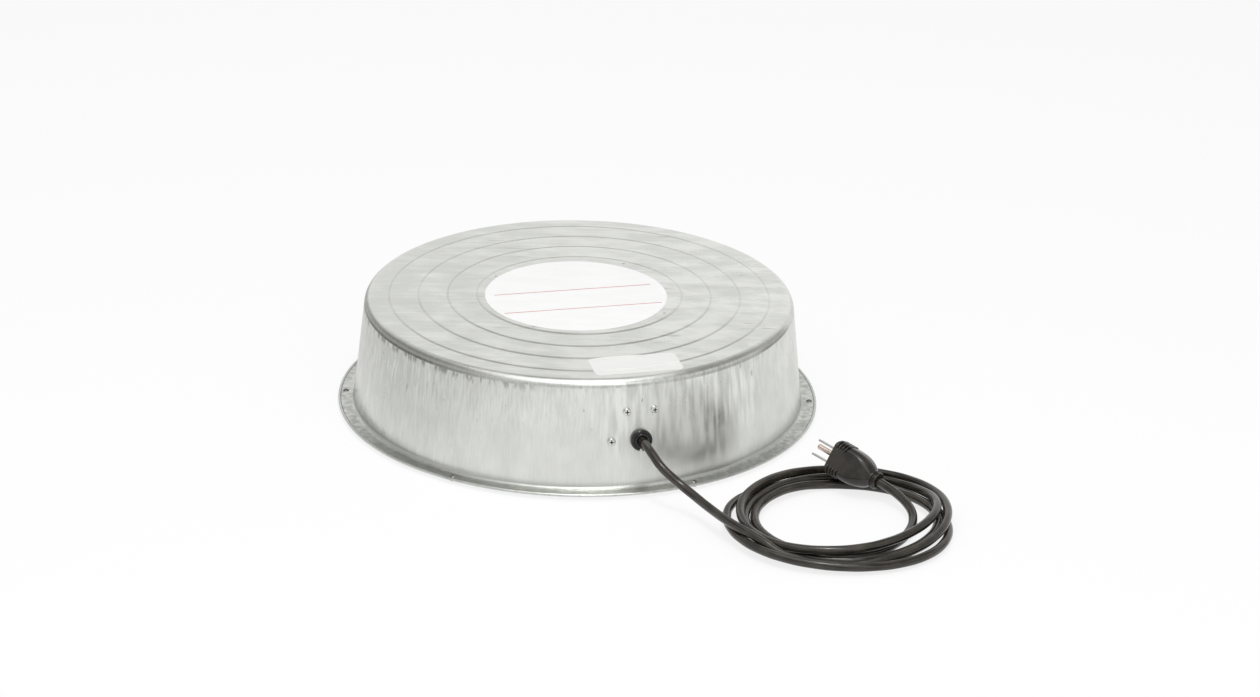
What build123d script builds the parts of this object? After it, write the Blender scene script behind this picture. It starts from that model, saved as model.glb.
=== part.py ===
from build123d import *
import math
import os

# Heater base for a poultry waterer: a drawn steel pan turned upside down and closed by a riveted plate,
# with a disc heater under its top, a snap-disc thermostat on its wall and a cord that lies in a loose coil.
# Millimetres. Z is up, z = 0 is the floor, the axis of the pan is the Z axis, and the cord leaves towards -Y.

# Base plate: a shallow dish with a level ledge and a rolled rim
RIM_RADIUS = 209.5
BEAD_DIAMETER = 2.4
RIM_CLEARANCE = 0.2
BASE_SHEET = 0.8
BASE_DISH_DEPTH = 3.0
BASE_LEDGE_WIDTH = 47.5
BASE_DISH_RUN = 12.0
BASE_BEND_RADIUS = 4.0

# Pan: flange, tapered wall and a top that steps up towards its middle at each pressed ring
PAN_SHEET = 0.8
FLANGE_WIDTH = 11.0
WALL_HEIGHT = 94.3
WALL_TAPER = 6.0
TOP_CORNER_RADIUS = 7.0
FOOT_CORNER_RADIUS = 2.8
RING_COUNT = 4
RING_PITCH = 25.4
RING_INSET = 20.9
RING_WIDTH = 5.5
RING_DEPTH = 0.7
RING_STEP = 0.4

# Blind rivets through flange and plate
RIVET_COUNT = 6
RIVET_INSET = 6.3
RIVET_SHANK_DIAMETER = 3.2
RIVET_HEAD_DIAMETER = 5.6
RIVET_HEAD_HEIGHT = 1.2
RIVET_TAIL_DIAMETER = 4.6
RIVET_TAIL_LENGTH = 2.0
RIVET_BORE_DIAMETER = 1.5

# Stickers on the top
LABEL_SHEET = 0.15
CENTRE_LABEL_MARGIN = 7.1
CENTRE_LABEL_SHIFT = (-2.9, -2.3)
RATING_LABEL_LENGTH = 76.0
RATING_LABEL_WIDTH = 36.0
RATING_LABEL_CORNER = 5.0
RATING_LABEL_AZIMUTH = -71.3
RATING_LABEL_OFFSET = 3.8
RATING_LABEL_TURN = 14.6

# Clearances
FIT = 0.1
SEAT_GAP = 0.05

# Disc heater under the top
STUD_COUNT = 4
STUD_AZIMUTH = -117.0
STUD_DIAMETER = 4.0
STUD_EDGE = 3.15
STUD_END = 2.0
MICA_SHEET = 0.5
MICA_STUD_GAP = 5.0
RIBBON_WIDTH = 3.0
RIBBON_SHEET = 0.3
RIBBON_TURNS = 4
RIBBON_INNER_RADIUS = 34.0
RIBBON_MICA_EDGE = 6.0
RIBBON_GAP = 8.0
PLATE_SHEET = 1.5
PLATE_STUD_EDGE = 7.0
PAD_THICKNESS = 12.0
SHIELD_SHEET = 0.6
SHIELD_LIP = 10.0
LEAD_HOLE_DIAMETER = 6.0
WASHER_DIAMETER = 9.0
WASHER_SHEET = 0.8
STUD_NUT_FLATS = 7.0
STUD_NUT_HEIGHT = 3.2

# Cord bushing in the wall
CORD_AZIMUTH = -73.0
BUSHING_HEIGHT = 45.6
BUSHING_HEAD_DIAMETER = 18.6
BUSHING_HEAD_LENGTH = 5.0
BUSHING_HEAD_ROUND = 1.6
BUSHING_BODY_DIAMETER = 15.6
BUSHING_BODY_LENGTH = 9.0
BUSHING_BARB_REACH = 1.2
BUSHING_BARB_LENGTH = 3.0
BUSHING_BARB_WIDTH = 7.0
BUSHING_BARB_GAP = 0.6
BUSHING_SLIT = 0.5

# Wall screws and nuts
SCREW_DIAMETER = 3.5
SCREW_HEAD_DIAMETER = 6.8
SCREW_HEAD_HEIGHT = 2.4
SCREW_HEAD_ROUND = 1.1
SCREW_RECESS_LENGTH = 3.8
SCREW_RECESS_WIDTH = 0.9
SCREW_RECESS_DEPTH = 1.2
SCREW_END = 2.0
SCREW_NUT_FLATS = 6.0
SCREW_NUT_HEIGHT = 2.6
GROUND_SPACING = 25.4

# Thermostat: bracket, cup, bimetal disc, pin, contact blade, moulded body and cover
THERMOSTAT_RISE = 25.4
THERMOSTAT_SCREW_SPACING = 23.8
BRACKET_SHEET = 0.8
BRACKET_HEIGHT = 14.0
BRACKET_END = 5.5
BRACKET_WINDOW_DIAMETER = 11.0
CUP_RADIUS = 8.0
CUP_SHEET = 0.5
CUP_DEPTH = 6.0
DISC_SHEET = 0.3
DISC_RISE = 0.7
DISC_LIFT = 0.6
SNAP_TRAVEL = 0.4
PIN_DIAMETER = 2.4
PIN_CLEARANCE = 0.2
PIN_DOME = 0.5
BODY_UNDERSIDE = 3.3
BODY_FLOOR = 0.3
BODY_CHAMBER_DEPTH = 5.2
CHAMBER_LENGTH = 12.0
CHAMBER_WIDTH = 7.2
COVER_THICKNESS = 2.5
TAB_SHEET = 0.8
TAB_WIDTH = 6.35
TAB_LENGTH = 8.0
FOOT_WIDTH = 5.0
FOOT_SHEET = 0.6
HINGE_OFFSET = 4.0
CONTACT_OFFSET = 3.6
CONTACT_DIAMETER = 2.4
CONTACT_HEIGHT = 0.5
CONTACT_MARGIN = 0.1
BLADE_SHEET = 0.25
BLADE_WIDTH = 3.6
BLADE_SEAT_GAP = 0.1
CONNECTOR_LENGTH = 16.0
CONNECTOR_WIDTH = 8.0
CONNECTOR_THICKNESS = 3.4
CONNECTOR_GAP = 0.4

# Ground ring terminal
TERMINAL_SHEET = 0.8
TERMINAL_RING_DIAMETER = 8.0
TERMINAL_BARREL_DIAMETER = 4.2
TERMINAL_BARREL_START = 6.0
TERMINAL_BARREL_LENGTH = 7.0

# Wires inside the pan
CORE_DIAMETER = 2.4
CORE_CIRCLE_RADIUS = 1.75
WIRE_BEND_RADIUS = 6.0
WIRE_GRIP = 4.0
STUB_LENGTH = 20.0
STRAIGHT_RUN = 10.0
SPLICE_DIAMETER = 5.4
SPLICE_LENGTH = 20.0
SPLICE_OFFSET = (10.0, -6.0)
SPLICE_DISTANCE = 30.0

# Cord: exit from the bushing, the loose coil on the floor, and the plug that lies on it
CORD_DIAMETER = 7.6
CORD_FLOOR_GAP = 0.1
EXIT_RUN = 12.0
LEAD_END_RUN = 14.0
TAIL_START_RUN = 18.5
NECK_RUN = 14.0
LEAD_POINTS = [
    (64.5, -214.0, 45.5),
    (70.0, -227.0, 40.5),
    (79.5, -238.0, 32.0),
    (94.0, -247.0, 21.8),
    (110.0, -256.0, 15.2),
    (127.0, -274.0, 12.6),
    (141.5, -292.0, 12.8),
    (157.5, -305.5, 12.4),
    (175.0, -316.0, 9.4),
    (188.5, -323.1, 6.0),
]
COIL_CENTRE = (223.0, -240.0)
# Distance of the cord from the coil's centre at each quarter turn: front, right, back, left, and so on
COIL_RADII = [86.5, 89.0, 96.0, 86.0, 71.0, 79.8, 87.4, 93.4, 99.5, 94.5, 75.6, 80.4, 77.6, 82.0, 66.8, 71.0, 62.0]
# Height of the cord's middle at each eighth of a turn, where it crosses over what lies below it
COIL_HEIGHTS = [4.6, 8.8, 12.5, 11.4, 8.0, 13.0, 11.4, 12.5, 9.4, 11.6, 12.5, 12.8, 6.0, 4.5]
TAIL_POINTS = [
    (264.9, -294.6, 4.0),
    (277.0, -282.8, 4.1),
    (283.6, -267.2, 4.3),
    (284.6, -247.0, 5.2),
    (282.7, -230.2, 7.5),
    (276.8, -215.6, 11.6),
]
PLUG_NECK = (255.4, -195.3, 17.6)
PLUG_AZIMUTH = 142.4
PLUG_TILT = 12.2
PLUG_BROAD_SIDE = (0.4295, 0.2502, 0.8677)
PLUG_LENGTH = 46.5
PLUG_WIDTH = 29.4
PLUG_DEPTH = 25.0
PLUG_FLATS = 22.8
PLUG_CORNER = 8.0
PLUG_FACE_ROUND = 2.0
PLUG_COLLAR_DIAMETER = 15.2
PLUG_COLLAR_LENGTH = 5.5
PLUG_COLLAR_GROOVE = 1.2
PLUG_SWELL_LENGTH = 27.5
PLUG_SWELL_STEPS = 4
PLUG_RIB_COUNT = 4
PLUG_RIB_PITCH = 3.0
PLUG_RIB_WIDTH = 1.7
PLUG_RIB_HEIGHT = 0.9
PLUG_RIB_REACH = 3.2
PLUG_RIB_INSET = 3.2
BLADE_SPACING = 12.7
BLADE_TO_GROUND = 11.9
PLUG_BLADE_WIDTH = 6.35
PLUG_BLADE_SHEET = 1.5
PLUG_BLADE_LENGTH = 16.2
PLUG_BLADE_CHAMFER = 1.2
PLUG_PIN_DIAMETER = 4.76
PLUG_PIN_LENGTH = 20.6
PLUG_PIN_ROUND = 1.8
PLUG_PIN_TAIL_DIAMETER = 3.6
PLUG_SOCKET_DEPTH = 8.0

FROM_BELOW = (Align.CENTER, Align.CENTER, Align.MIN)
FROM_ABOVE = (Align.CENTER, Align.CENTER, Align.MAX)

# Levels and radii that follow from the sizes above
bead_circle = RIM_RADIUS - BEAD_DIAMETER / 2
flange_radius = bead_circle - BEAD_DIAMETER / 2 - RIM_CLEARANCE
flange_underside = BASE_DISH_DEPTH + BASE_SHEET
flange_top = flange_underside + PAN_SHEET
foot_radius = flange_radius - FLANGE_WIDTH
wall_slope = math.tan(math.radians(WALL_TAPER))
edge_top = flange_top + WALL_HEIGHT
corner_radius = foot_radius - WALL_HEIGHT * wall_slope
outer_ring = corner_radius - RING_INSET
ring_radii = [outer_ring - RING_PITCH * step for step in reversed(range(RING_COUNT))]
pan_top = edge_top + RING_COUNT * RING_STEP
plateau_radius = ring_radii[0] - RING_WIDTH / 2
rivet_circle = RIM_RADIUS - RIVET_INSET

stud_circle = plateau_radius - STUD_EDGE
mica_radius = stud_circle - STUD_DIAMETER / 2 - MICA_STUD_GAP
plate_radius = stud_circle + PLATE_STUD_EDGE
ribbon_outer_radius = mica_radius - RIBBON_MICA_EDGE
ribbon_pitch = (ribbon_outer_radius - RIBBON_INNER_RADIUS) / (RIBBON_TURNS - 1)
ribbon_end_side = -(RIBBON_GAP + RIBBON_WIDTH) / 2
upper_mica_top = pan_top - PAN_SHEET
ribbon_top = upper_mica_top - MICA_SHEET
lower_mica_top = ribbon_top - RIBBON_SHEET
plate_top = lower_mica_top - MICA_SHEET
pad_top = plate_top - PLATE_SHEET
shield_top = pad_top - PAD_THICKNESS
washer_top = shield_top - SHIELD_SHEET
stud_nut_top = washer_top - WASHER_SHEET

thermostat_height = BUSHING_HEIGHT + THERMOSTAT_RISE


def wall_radius(height, inset=0.0):
    """Radius of the wall's outer face at a height, or of a face that lies inset deeper."""
    return foot_radius - (height - flange_top) * wall_slope - inset / math.cos(math.radians(WALL_TAPER))


def wall_plane(azimuth, height, inset=0.0, inward=False):
    """Plane that touches the wall there, its X along the wall and its Z square to it."""
    turn = math.radians(azimuth)
    taper = math.radians(WALL_TAPER)
    outward = Vector(math.cos(turn) * math.cos(taper), math.sin(turn) * math.cos(taper), math.sin(taper))
    radius = wall_radius(height)
    point = Vector(radius * math.cos(turn), radius * math.sin(turn), height)
    along = Vector(-math.sin(turn), math.cos(turn), 0)
    return Plane(point - outward * inset, x_dir=along, z_dir=-outward if inward else outward)


def azimuth_step(distance, height):
    """Turn about the pan's axis, in degrees, that moves a point of the wall sideways by a distance."""
    return math.degrees(2 * math.asin(distance / 2 / wall_radius(height)))


def around(shape, count, radius, start=0.0):
    """Copies of a shape, evenly spaced on a circle about the Z axis."""
    step = 360 / count
    return [Rot(0, 0, start + step * index) * Pos(radius, 0, 0) * shape for index in range(count)]


def turned(face):
    """Solid of revolution from a half section drawn as radius and height."""
    return revolve(Plane.XZ * face, Axis.Z)


def tube(path, diameter):
    """Round solid along a path."""
    return sweep(Plane(path @ 0, z_dir=path % 0) * Circle(diameter / 2), path)


def wire(*points):
    """Insulated wire along straight runs with round bends."""
    return tube(FilletPolyline(*points, radius=WIRE_BEND_RADIUS), CORE_DIAMETER)


bushing_plane = wall_plane(CORD_AZIMUTH, BUSHING_HEIGHT)
ground_turn = azimuth_step(GROUND_SPACING, BUSHING_HEIGHT)
ground_plane = wall_plane(CORD_AZIMUTH - ground_turn, BUSHING_HEIGHT)
ground_inside = wall_plane(CORD_AZIMUTH - ground_turn, BUSHING_HEIGHT, PAN_SHEET, inward=True)
screw_turn = azimuth_step(THERMOSTAT_SCREW_SPACING, thermostat_height) / 2
screw_azimuths = [CORD_AZIMUTH - screw_turn, CORD_AZIMUTH + screw_turn]
bracket_depth = PAN_SHEET + SEAT_GAP + BRACKET_SHEET
bracket_curve = wall_radius(thermostat_height, bracket_depth)
cup_sag = bracket_curve - math.sqrt(bracket_curve**2 - CUP_RADIUS**2)
cup_depth = bracket_depth + cup_sag + SEAT_GAP
thermostat_plane = wall_plane(CORD_AZIMUTH, thermostat_height, cup_depth, inward=True)

# Levels inside the thermostat, measured from the cup's sensing face towards the pan's axis
disc_rim = CUP_SHEET + DISC_LIFT
disc_crown = disc_rim + DISC_RISE + DISC_SHEET
disc_radius = CUP_RADIUS - CUP_SHEET - DISC_LIFT
chamber_floor = CUP_DEPTH + BODY_FLOOR
body_top = chamber_floor + BODY_CHAMBER_DEPTH
fixed_contact_top = chamber_floor + FOOT_SHEET + CONTACT_HEIGHT
contact_travel = SNAP_TRAVEL * (HINGE_OFFSET + CONTACT_OFFSET) / HINGE_OFFSET
blade_underside = fixed_contact_top + contact_travel + CONTACT_MARGIN + CONTACT_HEIGHT
cover_top = body_top + COVER_THICKNESS
tab_end = cover_top + TAB_LENGTH
tab_offset = (CHAMBER_LENGTH - TAB_SHEET) / 2
connector_start = cover_top + CONNECTOR_GAP
connector_end = connector_start + CONNECTOR_LENGTH


def top_line(lift):
    """Half section of the pan's top from the axis past the last ring, raised by lift, and its end point."""
    edges = []
    start = (0, pan_top + lift)
    for radius in ring_radii:
        level = start[1]
        inner = (radius - RING_WIDTH / 2, level)
        outer = (radius + RING_WIDTH / 2, level - RING_STEP)
        edges += [Line(start, inner), ThreePointArc(inner, (radius, level - RING_DEPTH), outer)]
        start = outer
    return edges, start


def pan_shell():
    """Pan of even sheet, with its holes for rivets, bushing and screws."""
    outer, outer_end = top_line(0)
    inner, inner_end = top_line(-PAN_SHEET)
    inner_edge = edge_top - PAN_SHEET
    outer += FilletPolyline(
        outer_end,
        (corner_radius, edge_top),
        (foot_radius, flange_top),
        (flange_radius, flange_top),
        radius=[TOP_CORNER_RADIUS, FOOT_CORNER_RADIUS],
    ).edges()
    inner += FilletPolyline(
        inner_end,
        (wall_radius(inner_edge, PAN_SHEET), inner_edge),
        (wall_radius(flange_underside, PAN_SHEET), flange_underside),
        (flange_radius, flange_underside),
        radius=[TOP_CORNER_RADIUS - PAN_SHEET, FOOT_CORNER_RADIUS + PAN_SHEET],
    ).edges()
    axis = Line((0, pan_top), (0, pan_top - PAN_SHEET))
    rim = Line((flange_radius, flange_top), (flange_radius, flange_underside))
    shell = turned(make_face(outer + inner + [axis, rim]))
    shell -= rivet_holes()
    shell -= bushing_plane * Cylinder(BUSHING_BODY_DIAMETER / 2 + FIT, BUSHING_BODY_LENGTH)
    for plane in screw_planes():
        shell -= plane * Cylinder(SCREW_DIAMETER / 2 + FIT, BUSHING_BODY_LENGTH)
    return shell


def base_plate():
    """Dished plate whose middle rests on the floor and whose rolled rim stands up round the flange."""
    ledge = RIM_RADIUS - BASE_LEDGE_WIDTH
    lower = FilletPolyline(
        (0, 0),
        (ledge - BASE_DISH_RUN, 0),
        (ledge, BASE_DISH_DEPTH),
        (bead_circle, BASE_DISH_DEPTH),
        radius=BASE_BEND_RADIUS,
    )
    upper = Pos(0, BASE_SHEET) * lower
    ends = [Line(lower @ 0, upper @ 0), Line(lower @ 1, upper @ 1)]
    section = make_face(lower.edges() + upper.edges() + ends)
    section += Pos(bead_circle, BASE_DISH_DEPTH + BEAD_DIAMETER / 2) * Circle(BEAD_DIAMETER / 2)
    return turned(section) - rivet_holes()


def rivet_holes():
    """Cylinders that cut the rivets' holes in pan and plate."""
    return around(Cylinder(RIVET_SHANK_DIAMETER / 2 + FIT, 2 * flange_top), RIVET_COUNT, rivet_circle)


def dome(radius, height):
    """Cap of a ball, flat side down."""
    ball = (radius**2 + height**2) / (2 * height)
    half = math.asin(radius / ball) / 2
    middle = (ball * math.sin(half), height - ball + ball * math.cos(half))
    arc = ThreePointArc((radius, 0), middle, (0, height))
    return turned(make_face([Line((0, 0), (radius, 0)), arc, Line((0, height), (0, 0))]))


def flange_rivets():
    """Blind rivets: domed head, hollow shank and a set tail that stays clear of the floor."""
    head = Pos(0, 0, flange_top) * dome(RIVET_HEAD_DIAMETER / 2, RIVET_HEAD_HEIGHT)
    tail_end = BASE_DISH_DEPTH - RIVET_TAIL_LENGTH
    shank_length = flange_top - tail_end
    shank = Pos(0, 0, tail_end) * Cylinder(RIVET_SHANK_DIAMETER / 2, shank_length, align=FROM_BELOW)
    tail = Pos(0, 0, tail_end) * Cylinder(RIVET_TAIL_DIAMETER / 2, RIVET_TAIL_LENGTH, align=FROM_BELOW)
    bore_top = flange_top + RIVET_HEAD_HEIGHT
    bore = Pos(0, 0, bore_top) * Cylinder(RIVET_BORE_DIAMETER / 2, shank_length / 2, align=FROM_ABOVE)
    return Compound(around(head + shank + tail - bore, RIVET_COUNT, rivet_circle))


def on_top(outline):
    """Thin sticker of a given outline that follows the rings of the pan's top."""
    lower, lower_end = top_line(0)
    upper, upper_end = top_line(LABEL_SHEET)
    lower_rim = (corner_radius, lower_end[1])
    upper_rim = (corner_radius, upper_end[1])
    ends = [Line(lower_end, lower_rim), Line(lower_rim, upper_rim), Line(upper_rim, upper_end)]
    axis = Line((0, pan_top), (0, pan_top + LABEL_SHEET))
    skin = turned(make_face(lower + upper + ends + [axis]))
    return skin & extrude(outline, 2 * pan_top)


def centre_label():
    """Round sticker, a little off the middle."""
    return on_top(Pos(*CENTRE_LABEL_SHIFT) * Circle(plateau_radius - CENTRE_LABEL_MARGIN))


def rating_label():
    """Rounded rectangular sticker between the two outer rings."""
    distance = outer_ring - RING_PITCH / 2 + RATING_LABEL_OFFSET
    outline = RectangleRounded(RATING_LABEL_LENGTH, RATING_LABEL_WIDTH, RATING_LABEL_CORNER)
    place = Rot(0, 0, RATING_LABEL_AZIMUTH) * Pos(distance, 0)
    return on_top(place * Rot(0, 0, RATING_LABEL_TURN - RATING_LABEL_AZIMUTH) * outline)


def disc(radius, top, sheet):
    """Flat disc whose upper face is at top."""
    return Pos(0, 0, top) * Cylinder(radius, sheet, align=FROM_ABOVE)


def stud_holes():
    """Cylinders that cut the studs' holes."""
    return around(Cylinder(STUD_DIAMETER / 2 + FIT, 3 * pan_top), STUD_COUNT, stud_circle, STUD_AZIMUTH)


def lead_points():
    """Places of the two heater leads: the ends of the ribbon."""
    turn = Rot(0, 0, CORD_AZIMUTH)
    ends = [Pos(radius, ribbon_end_side, 0) for radius in (RIBBON_INNER_RADIUS, ribbon_outer_radius)]
    return [(turn * end).position for end in ends]


def lead_holes(diameter):
    """Cylinders that cut a way for the two heater leads."""
    return [Pos(point.X, point.Y) * Cylinder(diameter / 2, 3 * pan_top) for point in lead_points()]


def heater_ribbon():
    """Flat ribbon that runs to and fro in arcs, joined in turn at the two sides of a gap."""
    radii = [RIBBON_INNER_RADIUS + ribbon_pitch * turn for turn in range(RIBBON_TURNS)]
    half = RIBBON_WIDTH / 2
    face = Sketch() + [Circle(radius + half) - Circle(radius - half) for radius in radii]
    face -= Pos(ribbon_outer_radius, 0) * Rectangle(2 * ribbon_outer_radius, RIBBON_GAP)
    for turn, radius in enumerate(radii[:-1]):
        side = -ribbon_end_side if turn % 2 == 0 else ribbon_end_side
        link = Rectangle(ribbon_pitch, RIBBON_WIDTH)
        face += Pos(radius + ribbon_pitch / 2, side) * link
    return Rot(0, 0, CORD_AZIMUTH) * Pos(0, 0, lower_mica_top) * extrude(face, RIBBON_SHEET)


def heat_shield():
    """Shallow tray with a lip round the pad."""
    outside = plate_radius + FIT + SHIELD_SHEET
    tray = disc(outside, shield_top, SHIELD_SHEET)
    lip = Cylinder(outside, SHIELD_LIP, align=FROM_BELOW) - Cylinder(plate_radius + FIT, 3 * SHIELD_LIP)
    tray += Pos(0, 0, shield_top) * lip
    return tray - stud_holes() - lead_holes(LEAD_HOLE_DIAMETER)


def hex_nut(flats, height, bore):
    """Plain nut, its lower face at z = 0."""
    return extrude(RegularPolygon(flats / 2, 6, major_radius=False) - Circle(bore / 2), height)


def weld_studs():
    """Studs welded to the underside of the pan's top."""
    length = upper_mica_top - stud_nut_top + STUD_NUT_HEIGHT + STUD_END
    stud = Pos(0, 0, upper_mica_top) * Cylinder(STUD_DIAMETER / 2, length, align=FROM_ABOVE)
    return Compound(around(stud, STUD_COUNT, stud_circle, STUD_AZIMUTH))


def stud_washers():
    """Washers under the tray."""
    washer = disc(WASHER_DIAMETER / 2, washer_top, WASHER_SHEET) - Cylinder(STUD_DIAMETER / 2 + FIT, 3 * pan_top)
    return Compound(around(washer, STUD_COUNT, stud_circle, STUD_AZIMUTH))


def stud_nuts():
    """Nuts that hold the heater's stack together."""
    nut = hex_nut(STUD_NUT_FLATS, STUD_NUT_HEIGHT, STUD_DIAMETER + 2 * SEAT_GAP)
    nut = Pos(0, 0, stud_nut_top - STUD_NUT_HEIGHT) * nut
    return Compound(around(nut, STUD_COUNT, stud_circle, STUD_AZIMUTH))


def strain_relief():
    """Split bushing: round head outside the wall, barbed body through it."""
    head = Cylinder(BUSHING_HEAD_DIAMETER / 2, BUSHING_HEAD_LENGTH, align=FROM_BELOW)
    head = fillet(head.edges().sort_by(Axis.Z)[-1], BUSHING_HEAD_ROUND)
    body = Cylinder(BUSHING_BODY_DIAMETER / 2, BUSHING_BODY_LENGTH, align=FROM_ABOVE)
    barb_width = BUSHING_BODY_DIAMETER + 2 * BUSHING_BARB_REACH
    barb = Box(barb_width, BUSHING_BARB_WIDTH, BUSHING_BARB_LENGTH, align=FROM_ABOVE)
    barb = Pos(0, 0, -PAN_SHEET - BUSHING_BARB_GAP) * barb
    bore = Cylinder(CORD_DIAMETER / 2 + FIT, 4 * BUSHING_BODY_LENGTH)
    slit = Pos(BUSHING_HEAD_DIAMETER / 2, 0, 0) * Box(BUSHING_HEAD_DIAMETER, BUSHING_SLIT, 4 * BUSHING_BODY_LENGTH)
    return bushing_plane * (head + body + barb - bore - slit)


def cord_stub():
    """End of the cord's jacket, through the bushing and into the pan."""
    jacket = Cylinder(CORD_DIAMETER / 2, BUSHING_HEAD_LENGTH + STUB_LENGTH, align=FROM_ABOVE)
    return bushing_plane * Pos(0, 0, BUSHING_HEAD_LENGTH) * jacket


def screw_planes():
    """Planes of the three wall screws: two for the thermostat, one for the ground wire."""
    return [wall_plane(azimuth, thermostat_height) for azimuth in screw_azimuths] + [ground_plane]


def wall_screw(grip):
    """Pan-head screw with a cross recess, its head's underside at z = 0 and its shank downwards."""
    head = Cylinder(SCREW_HEAD_DIAMETER / 2, SCREW_HEAD_HEIGHT, align=FROM_BELOW)
    head = fillet(head.edges().sort_by(Axis.Z)[-1], SCREW_HEAD_ROUND)
    arm = Pos(0, 0, SCREW_HEAD_HEIGHT) * Box(SCREW_RECESS_LENGTH, SCREW_RECESS_WIDTH, 2 * SCREW_RECESS_DEPTH)
    head -= arm
    head -= Rot(0, 0, 90) * arm
    length = PAN_SHEET + SEAT_GAP + grip + SCREW_NUT_HEIGHT + SCREW_END
    return head + Cylinder(SCREW_DIAMETER / 2, length, align=FROM_ABOVE)


def wall_nut(grip):
    """Nut of a wall screw, behind the sheet that it holds."""
    sag = wall_radius(thermostat_height) - math.sqrt(wall_radius(thermostat_height) ** 2 - SCREW_NUT_FLATS**2 / 3)
    depth = PAN_SHEET + SEAT_GAP + grip + sag
    nut = hex_nut(SCREW_NUT_FLATS, SCREW_NUT_HEIGHT, SCREW_DIAMETER + 2 * SEAT_GAP)
    return Pos(0, 0, -depth - SCREW_NUT_HEIGHT) * nut


def thermostat_bracket():
    """Strip bent to the wall's curve, with a window behind the cup and a hole at each end."""
    half = BRACKET_HEIGHT / 2
    low = thermostat_height - half
    high = thermostat_height + half
    near = PAN_SHEET + SEAT_GAP
    section = make_face(
        Polyline(
            (wall_radius(low, near), low),
            (wall_radius(high, near), high),
            (wall_radius(high, bracket_depth), high),
            (wall_radius(low, bracket_depth), low),
            close=True,
        )
    )
    reach = 2 * screw_turn + 2 * azimuth_step(BRACKET_END, thermostat_height)
    strip = Rot(0, 0, CORD_AZIMUTH - reach / 2) * revolve(Plane.XZ * section, Axis.Z, reach)
    strip -= thermostat_plane * Cylinder(BRACKET_WINDOW_DIAMETER / 2, 4 * cup_depth)
    for plane in screw_planes()[:2]:
        strip -= plane * Cylinder(SCREW_DIAMETER / 2 + FIT, BUSHING_BODY_LENGTH)
    return strip


def thermostat_cup():
    """Metal cup whose face senses the wall's heat."""
    cup = Cylinder(CUP_RADIUS, CUP_DEPTH, align=FROM_BELOW)
    return thermostat_plane * (cup - Pos(0, 0, CUP_SHEET) * Cylinder(CUP_RADIUS - CUP_SHEET, CUP_DEPTH, align=FROM_BELOW))


def snap_disc():
    """Dished bimetal disc, shown warm, with its crown pushing the pin."""
    outer = dome(disc_radius, DISC_RISE)
    inner = Pos(0, 0, -DISC_SHEET) * outer
    skirt = Cylinder(disc_radius, DISC_SHEET, align=FROM_ABOVE)
    return thermostat_plane * Pos(0, 0, disc_rim + DISC_SHEET) * (outer + skirt - inner)


def transfer_pin():
    """Pin between the disc and the contact blade, domed where the blade rocks on it."""
    bottom = disc_crown + SEAT_GAP
    length = blade_underside - SEAT_GAP - PIN_DOME - bottom
    pin = Cylinder(PIN_DIAMETER / 2, length, align=FROM_BELOW)
    pin += Pos(0, 0, length) * dome(PIN_DIAMETER / 2, PIN_DOME)
    return thermostat_plane * Pos(0, 0, bottom) * pin


def chamber():
    """Space in the moulded body for the contacts."""
    return Pos(0, 0, chamber_floor) * Box(CHAMBER_LENGTH, CHAMBER_WIDTH, BODY_CHAMBER_DEPTH, align=FROM_BELOW)


def thermostat_body():
    """Moulded body: a spigot in the cup, a shoulder on its rim, a guide for the pin and the contact chamber."""
    spigot_height = CUP_DEPTH - BODY_UNDERSIDE
    spigot = Cylinder(CUP_RADIUS - CUP_SHEET - FIT, spigot_height, align=FROM_BELOW)
    body = Pos(0, 0, BODY_UNDERSIDE) * spigot
    body += Pos(0, 0, CUP_DEPTH) * Cylinder(CUP_RADIUS, body_top - CUP_DEPTH, align=FROM_BELOW)
    guide = Cylinder(PIN_DIAMETER / 2 + PIN_CLEARANCE, 4 * CUP_DEPTH)
    return thermostat_plane * (body - chamber() - guide)


def thermostat_cover():
    """Moulded cover with a slot for each tab."""
    cover = Pos(0, 0, body_top) * Cylinder(CUP_RADIUS, COVER_THICKNESS, align=FROM_BELOW)
    slot = Box(TAB_SHEET + FIT, TAB_WIDTH + FIT, 4 * body_top)
    return thermostat_plane * (cover - Pos(tab_offset, 0, 0) * slot - Pos(-tab_offset, 0, 0) * slot)


def tab(side):
    """Flat terminal tab from the chamber's floor to the outside, at one end of the chamber."""
    blade = Box(TAB_SHEET, TAB_WIDTH, tab_end - chamber_floor, align=FROM_BELOW)
    return Pos(side * tab_offset, 0, chamber_floor) * blade


def line_terminal():
    """Tab with a pillar that carries the contact blade."""
    pillar_length = CHAMBER_LENGTH / 2 - HINGE_OFFSET
    pillar_height = blade_underside - BLADE_SEAT_GAP - chamber_floor
    pillar = Box(pillar_length, FOOT_WIDTH, pillar_height, align=FROM_BELOW)
    return thermostat_plane * (tab(-1) + Pos(-HINGE_OFFSET - pillar_length / 2, 0, chamber_floor) * pillar)


def load_terminal():
    """Tab with a foot that carries the fixed contact."""
    foot_length = CHAMBER_LENGTH / 2 - CONTACT_OFFSET + CONTACT_DIAMETER / 2
    foot = Box(foot_length, FOOT_WIDTH, FOOT_SHEET, align=FROM_BELOW)
    foot = Pos(CHAMBER_LENGTH / 2 - foot_length / 2, 0, chamber_floor) * foot
    button = Cylinder(CONTACT_DIAMETER / 2, CONTACT_HEIGHT, align=FROM_ABOVE)
    return thermostat_plane * (tab(1) + foot + Pos(CONTACT_OFFSET, 0, fixed_contact_top) * button)


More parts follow.
